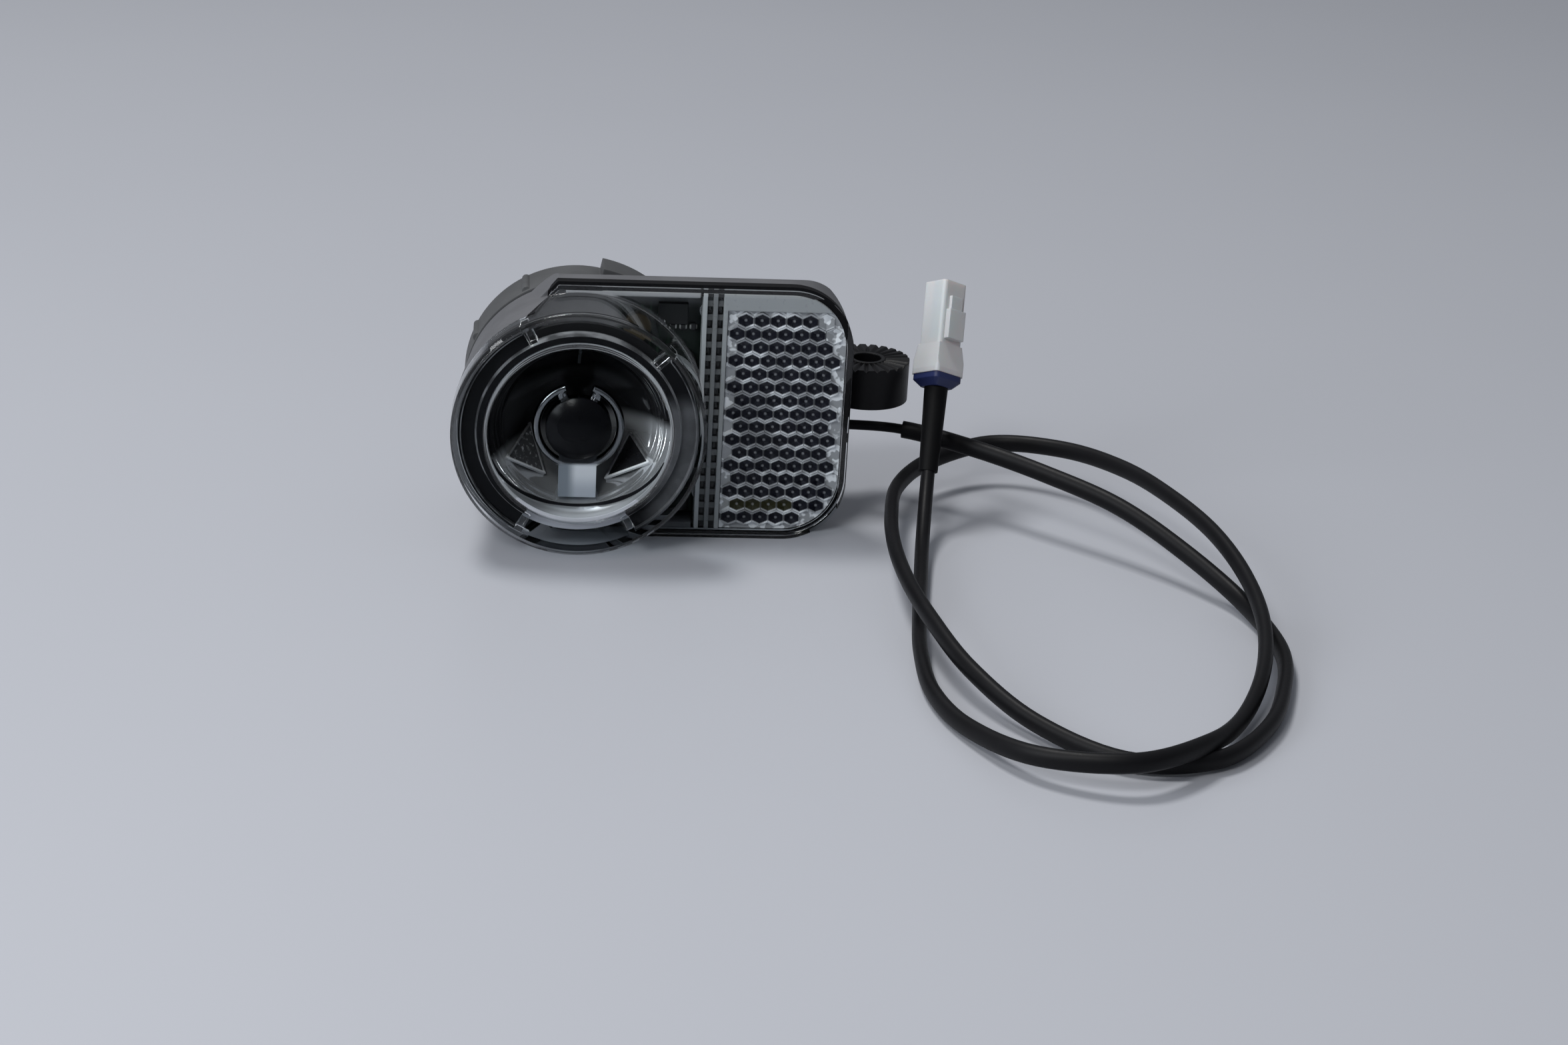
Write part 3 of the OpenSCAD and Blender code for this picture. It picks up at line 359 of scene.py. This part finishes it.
def facet_finish(name, rim):
    """Facets of the bowl: the rim is painted pale along its lower edge as a highlight, weaker on the left;
    the left pane is greyer and specked.
    """
    finish = Finish(name)
    across, _, above, _ = finish.from_lens()
    left = across < 0.0
    speck = finish.noise(1100, 2)
    if rim:
        # Pale lower edge of the rim, weaker on the left: a painted highlight.
        height = above + 16 - abs(across) * 0.616
        lower = finish.ramp(height, 0.5, 1.1, 1.0, 0.0) * (1 - left * 0.45)
        finish.set("Base Color", finish.mix(lower, (0.13, 0.13, 0.135), (0.95, 0.95, 0.96)))
    else:
        grey = left * finish.ramp(speck, 0.5, 0.75, 0.12, 0.9)
        finish.set("Base Color", finish.mix(grey, (0.012, 0.012, 0.014), (0.3, 0.3, 0.31)))
    finish.set("Roughness", 0.2 + speck * 0.12)
    finish.soften(0.3)
    return finish


def carrier_finish():
    """Polished carrier: dim round the open ring, with painted highlights along its ridge and on its ends;
    bright on the post, painted paler above as a highlight and darker on the left as shade.
    """
    finish = Finish("carrier_metal", Metallic=1.0)
    across, _, above, reach = finish.from_lens()
    fine = finish.noise(700, 3)
    post = finish.ramp(above, -8.5, -7.5, 1.0, 0.0)
    # Post darker on the left: painted shade.
    left = finish.ramp(across, -2.2, 0.0, 1.0, 0.0)
    # Post paler above: a painted highlight.
    painted_light_above = finish.ramp(above, -14, -9.5)
    face = finish.mix(painted_light_above, (0.6, 0.63, 0.67), (0.97, 0.98, 0.99))
    face = finish.mix(left, face, (0.3, 0.33, 0.36))
    # Pale line along the ring's ridge and pale ends and hooks above: painted highlights.
    line = finish.ramp(abs(reach - 8.5), 0.2, 0.6, 1.0, 0.0).max(above > 5.5)
    ring = finish.mix(line, (0.025, 0.026, 0.028), (0.2, 0.205, 0.215))
    finish.set("Base Color", finish.mix(post, ring, face))
    finish.set("Roughness", 0.14 + post * 0.2 + (fine - 0.5) * 0.04)
    finish.soften(0.2)
    return finish


def board_finish():
    """Dark solder mask over faint tracks, with a grey film on the lens side, and painted paler along the top
    as a reflection.
    """
    finish = Finish("board_mask")
    across, _, above, _ = finish.from_lens()
    lane = finish.ramp(finish.noise(160, 1), 0.48, 0.52)
    tracks = (finish.axes()[0].wrap(1.6) < 0.22) * lane
    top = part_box("driver_board")[1][2] / MM - AXIS_Z
    # Paler along the top: a painted reflection of the clear wall.
    painted_light_above = finish.ramp(above, top - 3.4, top - 1.2, 0.0, 0.8)
    film = finish.ramp(across, 6.5, 9, 1.0, 0.0).max(painted_light_above)
    mask = finish.mix(tracks, (0.006, 0.011, 0.009), (0.02, 0.04, 0.026))
    finish.set("Base Color", finish.mix(film, mask, (0.34, 0.34, 0.35)))
    finish.set("Roughness", 0.32 + finish.noise(420, 3) * 0.2)
    finish.bump(tracks, 0.3, 0.04)
    return finish


def chip_finish():
    """Small parts in a row on the board: dark bodies with tinned ends."""
    finish = Finish("chip_ends")
    across = finish.from_lens()[0]
    ends = (across - CHIP_ROW[0]).wrap(CHIP_PITCH) > CHIP_CORE[0] / 2
    finish.set("Base Color", finish.mix(ends, (0.02, 0.02, 0.022), (0.62, 0.62, 0.6)))
    finish.set("Metallic", ends * 0.8)
    finish.set("Roughness", 0.3 + finish.noise(1800, 2) * 0.15)
    return finish


def cells_finish():
    """Corner cells painted with their reflections: dark hollows, bright slanting seams, dim upright seams, a
    dot in the middle, brighter patches, glints on the border cells and an amber reflection along one row.
    """
    finish = Finish("corner_cells")
    across, _, above, _ = finish.from_lens()
    rise = CELL_PITCH * math.sqrt(3)

    def grid(shift):
        """Distance from the nearest cell's middle: sideways, along its slanting sides, and the greater."""
        upright = (across - (CELL_FIRST[0] + shift * CELL_PITCH)).wrap(CELL_PITCH)
        height = (above - (CELL_FIRST[1] + shift * rise)).wrap(rise)
        slant = upright * 0.5 + height * (math.sqrt(3) / 2)
        return upright, slant, upright.max(slant)

    def right_of(column):
        return across > CELL_FIRST[0] + column * CELL_PITCH

    def share_of(value, low, high, start=0.0, end=1.0):
        return finish.ramp(value, low * CELL_PITCH, high * CELL_PITCH, start, end)

    first_rows, rows_between = grid(0), grid(0.5)
    is_between = rows_between[2] < first_rows[2]

    def by_row(first, between):
        return between * is_between + first * (1 - is_between)

    upright, slant, middle = (by_row(*pair) for pair in zip(first_rows, rows_between))
    first_ends = right_of(6.5).max((above > 14.1) * right_of(5.5)).max(above > 20.1)
    first_ends = first_ends.max((above < -20) * right_of(4.5))
    ends_between = (across < CELL_FIRST[0]).max(right_of(6))
    ends_between = ends_between.max((above > 16.9) * right_of(5)).max(above < -22.5)
    border = by_row(first_ends, ends_between)
    # Seams, dot, brighter patches and glints on the border cells are painted reflections of the corner
    # cells.
    seam = share_of(slant, 0.345, 0.42)
    dim = share_of(upright, 0.42, 0.49, 0.0, 0.35)
    dot = share_of(middle, 0.12, 0.03, 0.0, 0.25)
    painted_sheen_patch = finish.ramp(finish.noise(330, 1), 0.4, 0.66, 0.42, 1.0)
    spark = finish.ramp(finish.noise(620, 1), 0.52, 0.6, 0.4, 1.0)
    light = (seam.max(dim) * painted_sheen_patch).max(dot).max(border * spark)
    # Olive row: a painted amber reflection.
    painted_amber_reflection = (abs(above + 20) < 1.4) * (across < 44.8)
    hollow = finish.mix(painted_amber_reflection, (0.008, 0.008, 0.015), (0.03, 0.028, 0.008))
    finish.set("Base Color", finish.mix(light, hollow, (0.97, 0.97, 0.99)))
    finish.set("Metallic", 0.3 - light * 0.2)
    finish.set("Roughness", 0.22 - light * 0.06)
    return finish


def frame_finish():
    """Frame of the reflector: the bar has a bright ridge painted as a highlight, duller ones and two troughs
    with their slots painted dark as shade.
    """
    finish = Finish("frame_black")
    across, _, above, _ = finish.from_lens()
    slot = (above + 21.95).wrap(2.9) < 0.85
    fine = finish.noise(900, 3)
    # Bright ridge: a painted highlight; the troughs darker and their slots black: painted shade.
    bright = across.between(24.4, 25.48)
    trough = (across.between(25.48, 26.62) + across.between(27.58, 28.72)) * (1 - slot)
    middle = across.between(26.62, 27.58)
    right = across.between(28.72, 60)
    light = bright + trough * 0.3 + middle * 0.42 + right * 0.75
    finish.set("Base Color", finish.mix(light, (0.008, 0.008, 0.009), (0.5, 0.51, 0.52)))
    finish.set("Roughness", 0.3 + (fine - 0.5) * 0.2)
    finish.bump(fine, 0.25, 0.03, 0.3)
    return finish


FINISHES = {finish.name: finish for finish in (
    housing_finish(),
    clear_cover_finish(),
    bowl_finish(),
    retainer_finish(),
    dome_finish(),
    carrier_finish(),
    facet_finish("facet_bright", True),
    facet_finish("facet_dark", False),
    board_finish(),
    chip_finish(),
    cells_finish(),
    frame_finish(),
    moulded("knob_grey", (0.066, 0.068, 0.071), 0.56, edge=0.5, Specular_IOR_Level=0.25),
    moulded("seal_black", (0.006, 0.006, 0.007), 0.6, edge=0.2, Specular_IOR_Level=0.1),
    moulded("part_black", (0.014, 0.014, 0.015), 0.4),
    moulded("phosphor", (0.8, 0.6, 0.14), 0.5),
    moulded("amber_dip", (0.055, 0.042, 0.022), 0.3),
    moulded("bracket_black", (0.004, 0.004, 0.005), 0.42, depth=0.05, edge=0.4, Specular_IOR_Level=0.22),
    moulded(
        "lead_black", (0.005, 0.005, 0.006), 0.48, grain=1500, depth=0.02, edge=0, Specular_IOR_Level=0.15
    ),
    moulded("boot_black", (0.003, 0.003, 0.0035), 0.55, Specular_IOR_Level=0.1),
    moulded("navy_rubber", (0.012, 0.02, 0.085), 0.45),
    moulded("white_nylon", (0.53, 0.53, 0.54), 0.42, mottle=0.03, Subsurface_Weight=0.15),
    metal("sink_metal", (0.6, 0.61, 0.63), 0.4),
    metal("zinc_steel", (0.62, 0.63, 0.65), 0.3),
    metal("brass_pin", (0.72, 0.55, 0.26), 0.3),
)}
WEARS = {
    "housing": "housing_grey", "front_cover": "clear_cover", "cover_gasket": "seal_black",
    "reflector_bowl": "bowl_coat", "optic_retainer": "retainer_black", "led_carrier": "carrier_metal",
    "led_dome": "dome_black", "led_chip": "phosphor", "heat_sink": "sink_metal",
    "heat_sink_screw": "zinc_steel", "driver_board": "board_mask", "board_screws": "zinc_steel",
    "standlight_capacitor": "part_black", "inductor": "part_black", "disc_capacitor": "amber_dip",
    "driver_chip": "part_black", "hall_sensor": "part_black", "retro_reflector": "corner_cells",
    "reflector_frame": "frame_black", "switch_knob": "knob_grey", "knob_cap": "knob_grey",
    "knob_magnet": "zinc_steel", "knob_clip": "zinc_steel", "bracket_arm": "bracket_black",
    "tilt_screw": "zinc_steel", "spring_washer": "zinc_steel", "cable_gland": "seal_black",
    "lead_core": "lead_black", "lead_sheath": "lead_black", "cable_boot": "boot_black",
    "connector_seal": "navy_rubber", "connector_body": "white_nylon", "connector_terminals": "brass_pin",
}


def wear(piece, finish):
    material = FINISHES[finish].material
    if piece.material_slots:
        for slot in piece.material_slots:
            slot.material = material
    else:
        piece.data.materials.append(material)


for node_name, finish_name in WEARS.items():
    wear(nodes[node_name], finish_name)


# Shared steps

def open_mesh(name, mesh):
    """Makes a piece of a mesh and opens it for editing."""
    bpy.ops.object.select_all(action="DESELECT")
    piece = bpy.data.objects.new(name, mesh)
    scene.collection.objects.link(piece)
    piece.select_set(True)
    bpy.context.view_layer.objects.active = piece
    bpy.ops.object.mode_set(mode="EDIT")


def select_where(kind, test):
    """Selects the vertices, edges or faces of the piece being edited for which the test holds."""
    mesh = bpy.context.object.data
    bpy.ops.mesh.select_mode(type=kind)
    bpy.ops.mesh.select_all(action="DESELECT")
    bpy.ops.object.mode_set(mode="OBJECT")
    for part in {"VERT": mesh.vertices, "EDGE": mesh.edges, "FACE": mesh.polygons}[kind]:
        part.select = test(part)
    bpy.ops.object.mode_set(mode="EDIT")


def merge_all():
    """Selects the whole mesh that is being edited and joins vertices in one place."""
    bpy.ops.mesh.select_mode(type="VERT")
    bpy.ops.mesh.select_all(action="SELECT")
    bpy.ops.mesh.remove_doubles(threshold=1e-6)


def close_piece(name, finish, replaced=(), smooth=32):
    """Closes the mesh that is being edited and gives the piece its finish and body."""
    merge_all()
    bpy.ops.mesh.normals_make_consistent(inside=False)
    bpy.ops.object.mode_set(mode="OBJECT")
    bpy.ops.object.shade_smooth_by_angle(angle=math.radians(smooth))
    piece = bpy.context.object
    piece.name = name
    wear(piece, finish)
    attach(piece, "lamp")
    if replaced:
        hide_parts(*replaced)
    return piece


# Lead, with the half width and half height of its core and its sheath

CORE_HALF, SHEATH_HALF = (1.05, 1.05), (1.45, 1.9)
LEAD_STEPS, LEAD_SIDES = 8, 16
BEFORE_ROUTE = (40, 25, 17.7)
ROUTE = [
    (55, 25, 16.7), (70, 25, 15.7), (84.5, 15, 15.2), (98, 3, 14.2), (111, -9.5, 12.2),
    (122.5, -23, 7.7), (131.5, -38, 3.2), (134.1, -57.9, 2.2), (130.2, -75.8, 2.2), (123.2, -92.2, 2.2),
    (111.3, -105.1, 2.2), (94.5, -106, 2.2), (80.5, -93, 3.2), (71, -77.5, 6.2), (66, -60, 8.2),
    (63.5, -42, 8.7), (63, -24, 8.7), (64.5, -6, 8.2), (68, 12, 7.7), (76.5, 27, 7.7),
    (91, 35, 9.2), (106, 28, 10.7), (116, 13, 12.2), (122.5, -4, 12.7), (128, -21.5, 11.7),
    (131, -39, 9.2), (130.5, -57, 6.7), (126.2, -74.5, 4.4), (118.5, -90.5, 2.6), (108, -106, 5.2),
    (94, -115, 6.2), (78, -109.5, 4.7), (68.5, -94.5, 2.6), (64.1, -79.1, 2.2), (64, -61.4, 2.2),
    (66, -43.5, 2.2), (68.6, -24.9, 2.2), (71, -8, 4.2), (73.5, 7.5, 12.7),
]
PLUG_LEAN, PLUG_HEADING, PLUG_ROLL = (math.radians(angle) for angle in (32, 79, -45))
PLUG_AXIS = Vector((
    math.sin(PLUG_LEAN) * math.cos(PLUG_HEADING),
    math.sin(PLUG_LEAN) * math.sin(PLUG_HEADING),
    math.cos(PLUG_LEAN),
))
BOOT_LENGTH = 18
BOOT_END = at(*ROUTE[-1]) + PLUG_AXIS * BOOT_LENGTH * MM


def smooth_route():
    """Points and directions of a smooth curve through the route, and which stretch each is on."""
    points = [at(*place) for place in (BEFORE_ROUTE, *ROUTE)] + [BOOT_END]
    line = []
    for i in range(len(ROUTE) - 1):
        a, b, c, d = points[i:i + 4]
        square, cube = 2 * a - 5 * b + 4 * c - d, 3 * b - a - 3 * c + d
        for k in range(LEAD_STEPS + (i == len(ROUTE) - 2)):
            t = k / LEAD_STEPS
            place = (2 * b + (c - a) * t + square * t * t + cube * t ** 3) / 2
            heading = ((c - a) + 2 * square * t + 3 * cube * t * t).normalized()
            line.append((place, heading, i))
    return line


def add_connector_seal():
    """Rubber seal that flares from the boot's end to the connector's foot."""
    wide, thick, high, corner, narrow = 7.7, 1.2, 2.6, 1.1, 0.66
    bpy.ops.object.select_all(action="DESELECT")
    bpy.ops.mesh.primitive_cube_add(
        size=1, location=(0, 0, (high - thick / 2) * MM), scale=(wide * MM, wide * MM, thick * MM)
    )
    bpy.ops.object.transform_apply()
    mesh = bpy.context.object.data

    def upright(edge):
        low, top = (mesh.vertices[i].co for i in edge.vertices)
        return abs(top.z - low.z) > 0.5 * thick * MM

    bpy.ops.object.mode_set(mode="EDIT")
    select_where("EDGE", upright)
    bpy.ops.mesh.bevel(offset=corner * MM, segments=5)
    select_where("FACE", lambda face: face.normal.z < -0.9)
    bpy.ops.mesh.extrude_region_move(TRANSFORM_OT_translate={"value": (0, 0, (thick - high) * MM)})
    bpy.ops.transform.resize(value=(narrow, narrow, 1), center_override=(0, 0, 0))
    seal = close_piece("flared_seal", "navy_rubber", ["connector_seal"])
    turn = Matrix.Rotation(PLUG_HEADING, 4, "Z") @ Matrix.Rotation(PLUG_LEAN, 4, "Y")
    mesh.transform(Matrix.Translation(BOOT_END) @ turn @ Matrix.Rotation(PLUG_ROLL, 4, "Z"))
    return seal


def lead_mesh(line):
    """Tube along the line: the round core, then the oval sheath, with a step where the sheath begins."""
    up = Vector((0, 0, 1))
    half = CORE_HALF
    rings = []
    for place, heading, stretch in line:
        up = (up - heading * up.dot(heading)).normalized()
        side = heading.cross(up)
        rings.append((place, side, up, half))
        if stretch and half is CORE_HALF:
            half = SHEATH_HALF
            rings.append((place, side, up, half))
    verts, faces = [], []
    for place, side, rise, (wide, tall) in rings:
        for k in range(LEAD_SIDES):
            angle = 2 * math.pi * k / LEAD_SIDES
            verts.append(place + (side * math.cos(angle) * wide + rise * math.sin(angle) * tall) * MM)
    for i in range(0, len(verts) - LEAD_SIDES, LEAD_SIDES):
        for k in range(LEAD_SIDES):
            a, b = i + k, i + (k + 1) % LEAD_SIDES
            faces.append((b, b + LEAD_SIDES, a + LEAD_SIDES, a))
    faces.append(tuple(range(LEAD_SIDES)))
    faces.append(tuple(reversed(range(len(verts) - LEAD_SIDES, len(verts)))))
    mesh = bpy.data.meshes.new("lead")
    mesh.from_pydata(verts, [], faces)
    return mesh


def add_lead():
    line = smooth_route()
    open_mesh("lead", lead_mesh(line))
    lead = close_piece("lead", "lead_black", ["lead_core", "lead_sheath"], 40)
    path = [place for place, _, _ in line]
    length = sum((b - a).length for a, b in zip(path, path[1:]))
    ends = [nodes[n] for n in ("cable_boot", "connector_body", "connector_terminals")]
    ends.append(add_connector_seal())
    at(*ROUTE[0])


add_lead()


# Optics behind the window

def turn_piece(section, sides):
    """Opens a ring turned round the lens axis: each (radius, depth) is drawn out of the last."""
    bpy.ops.object.select_all(action="DESELECT")
    radius, depth = section[0]
    bpy.ops.mesh.primitive_circle_add(
        vertices=sides, radius=radius * MM, location=lens(0, depth, 0), rotation=(math.pi / 2, 0, 0)
    )
    bpy.ops.object.transform_apply()
    bpy.ops.object.mode_set(mode="EDIT")
    for next_radius, next_depth in section[1:]:
        move = (0, (next_depth - depth) * MM, 0)
        bpy.ops.mesh.extrude_region_move(TRANSFORM_OT_translate={"value": move})
        grow = next_radius / radius
        bpy.ops.transform.resize(value=(grow, 1, grow), center_override=lens(0, next_depth, 0))
        radius, depth = next_radius, next_depth
    bpy.ops.mesh.select_all(action="DESELECT")
    bpy.ops.mesh.select_non_manifold()
    bpy.ops.mesh.bridge_edge_loops()


def bowl_at(radius):
    return BOWL_VERTEX - BOWL_DEPTH * (radius / BOWL_RIM) ** 2


def add_bowl():
    """Bowl with fluted bands near its rim, a lip and a flange."""
    flutes = [15.4, 16.4, 16.9, BOWL_RIM]
    section = [(r, bowl_at(r)) for r in (0.4, 2.5, 5, 7.5, 9.5, 11.5, 13.2, 14.6)]
    for low, high in zip(flutes, flutes[1:]):
        swell = 0.22 * (high - low)
        for share in (0.0, 0.25, 0.5, 0.75):
            r = low + (high - low) * share
            section.append((r - swell * math.sin(math.pi * share), bowl_at(r)))
    section += [(BOWL_RIM, -12), (18.75, -12), (18.75, -11.6), (18.6, -8.8), (21.9, -8.8), (21.9, -7.4)]
    section += [(r, bowl_at(r) + BOWL_WALL) for r in (16.6, 14.5, 11.5, 8, 4, 0.4)]
    turn_piece(section, 128)
    close_piece("bright_bowl", "bowl_coat", ["reflector_bowl"])


def add_facet_part(name, corners, thickness, finish, rim_width=0):
    """Flat three-sided plate with soft edges, or only its rim where a rim's width is given."""
    bpy.ops.object.select_all(action="DESELECT")
    bpy.ops.mesh.primitive_circle_add(vertices=3, radius=MM, fill_type="NGON")
    facet = bpy.context.object
    for vertex, corner in zip(facet.data.vertices, corners):
        vertex.co = lens(*corner)
    bpy.ops.object.mode_set(mode="EDIT")
    bpy.ops.mesh.select_all(action="SELECT")
    bpy.ops.mesh.normals_make_consistent(inside=False)
    if rim_width:
        bpy.ops.mesh.inset(thickness=rim_width * MM)
        bpy.ops.mesh.delete(type="FACE")
    else:
        bpy.ops.mesh.subdivide(number_cuts=5)
    bpy.ops.object.mode_set(mode="OBJECT")
    wall = facet.modifiers.new("wall", "SOLIDIFY")
    wall.thickness = thickness * MM
    wall.offset = 0
    soft = facet.modifiers.new("soft", "BEVEL")
    soft.width = 0.12 * MM
    soft.segments = 2
    for modifier in ("wall", "soft"):
        bpy.ops.object.modifier_apply(modifier=modifier)
    bpy.ops.object.mode_set(mode="EDIT")
    close_piece(name, finish)


def add_side_facet(name, corners):
    """Flat facet of the bowl: a dark pane in a bright rim."""
    add_facet_part(f"{name}_pane", corners, 0.4, "facet_dark")
    add_facet_part(f"{name}_rim", corners, 0.9, "facet_bright", 0.42)


def add_ring_hook(name, side):
    """End of the open ring, curled in to the hub."""
    gap, curl = math.radians(19), math.radians(185)
    ring, bend, bar, depth = 8.4, 1.35, 0.84, -7.75
    out = Vector((side * math.sin(gap), 0, math.cos(gap)))
    start, middle = (lens(out.x * radius, depth, out.z * radius) for radius in (ring, ring - bend))
    turn = math.pi / 2 - side * gap
    bpy.ops.object.select_all(action="DESELECT")
    bpy.ops.mesh.primitive_circle_add(vertices=20, radius=bar * MM, location=start, rotation=(0, -turn, 0))
    bpy.ops.object.transform_apply()
    bpy.ops.object.mode_set(mode="EDIT")
    bpy.ops.mesh.spin(steps=18, angle=-side * curl, center=middle, axis=(0, 1, 0))
    bpy.ops.mesh.select_all(action="DESELECT")
    bpy.ops.mesh.select_non_manifold()
    bpy.ops.mesh.fill_holes(sides=0)
    close_piece(name, "carrier_metal")


def add_board_chips():
    """Row of small parts on the board, each a core padded on every side, modelled once and copied."""
    bpy.ops.object.select_all(action="DESELECT")
    bpy.ops.mesh.primitive_cube_add(
        size=1, location=lens(*CHIP_ROW), scale=[size * MM for size in CHIP_CORE]
    )
    bpy.ops.object.transform_apply()
    bpy.ops.object.mode_set(mode="EDIT")
    bpy.ops.mesh.select_mode(type="FACE")
    bpy.ops.mesh.select_all(action="SELECT")
    bpy.ops.mesh.extrude_faces_move(TRANSFORM_OT_shrink_fatten={"value": CHIP_PAD * MM})
    bpy.ops.mesh.select_all(action="SELECT")
    bpy.ops.mesh.bevel(offset=0.08 * MM, segments=2)
    first = close_piece("board_chip_1", "chip_ends")
    for k in range(1, CHIP_COUNT):
        copy = first.copy()
        copy.data = first.data.copy()
        copy.name = f"board_chip_{k + 1}"
        scene.collection.objects.link(copy)
        copy.data.transform(Matrix.Translation((CHIP_PITCH * k * MM, 0, 0)))
        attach(copy, "lamp")


add_bowl()
add_side_facet("left_facet", [(-14.4, -8.2, -7.0), (-9.7, 1.0, -2.5), (-6.4, -3.9, -12.0)])
add_side_facet("right_facet", [(5.7, -4.4, -12.6), (14.6, -8.7, -7.2), (10.7, -0.8, -3.5)])
add_ring_hook("left_hook", -1)
add_ring_hook("right_hook", 1)
add_board_chips()


# Seals

def add_cover_seal():
    """Seal between cover and housing, swelled a little out of its joint along the top."""
    swelled_above, swell = AXIS_Z + 12, 0.32
    open_mesh("swelled_seal", nodes["cover_gasket"].data.copy())
    merge_all()
    select_where("VERT", lambda vertex: vertex.co.z > swelled_above * MM)
    bpy.ops.transform.shrink_fatten(value=swell * MM, use_even_offset=True)
    close_piece("swelled_seal", "seal_black", ["cover_gasket"])


add_cover_seal()


# Table and light, with the lamps' places and sizes in metres

def add_table():
    finish = Finish("table")
    cloud = finish.noise(3, 3)
    finish.set("Base Color", finish.mix(cloud, (0.4, 0.414, 0.454), (0.42, 0.433, 0.472)))
    finish.set("Roughness", 0.32 + cloud * 0.1)
    bpy.ops.mesh.primitive_plane_add(size=6, location=(0, 0, -0.03 * MM))
    table = bpy.context.object
    table.name = "table"
    table.data.materials.append(finish.material)


def add_lamp(name, place, aim, size, power, colour):
    data = bpy.data.lights.new(name, "AREA")
    data.shape = "RECTANGLE"
    data.size, data.size_y = size
    data.energy = power
    data.color = colour
    light = bpy.data.objects.new(name, data)
    scene.collection.objects.link(light)
    light.location = place
    light.rotation_euler = (Vector(place) - Vector(aim)).to_track_quat("Z", "Y").to_euler()


def add_room():
    """Even room light, brightest overhead and dim towards the horizon."""
    world = bpy.data.worlds.new("room")
    world.use_nodes = True
    tree = world.node_tree
    shade = tree.nodes["Background"]
    shade.inputs["Color"].default_value = (0.66, 0.69, 0.75, 1)
    way = tree.nodes.new("ShaderNodeTexCoord")
    split = tree.nodes.new("ShaderNodeSeparateXYZ")
    level = tree.nodes.new("ShaderNodeMapRange")
    for key, value in (("From Min", -0.1), ("From Max", 0.9), ("To Min", 0.14), ("To Max", 0.45)):
        level.inputs[key].default_value = value
    tree.links.new(way.outputs["Generated"], split.inputs[0])
    tree.links.new(split.outputs["Z"], level.inputs["Value"])
    tree.links.new(level.outputs[0], shade.inputs["Strength"])
    scene.world = world


add_table()
add_lamp("overhead", (-0.35, 0.28, 1.3), (0.0, -0.01, 0.0), (0.36, 0.3), 11.2, (1.0, 0.99, 0.97))
add_lamp("left_window", (-0.85, -0.5, 0.5), (0.0, 0.0, 0.03), (0.5, 0.5), 5.5, (0.93, 0.96, 1.0))
add_lamp("front_spot", (-0.3, -0.6, 0.75), (-0.02, 0.0, 0.02), (0.22, 0.22), 2.6, (1.0, 0.99, 0.97))
add_room()
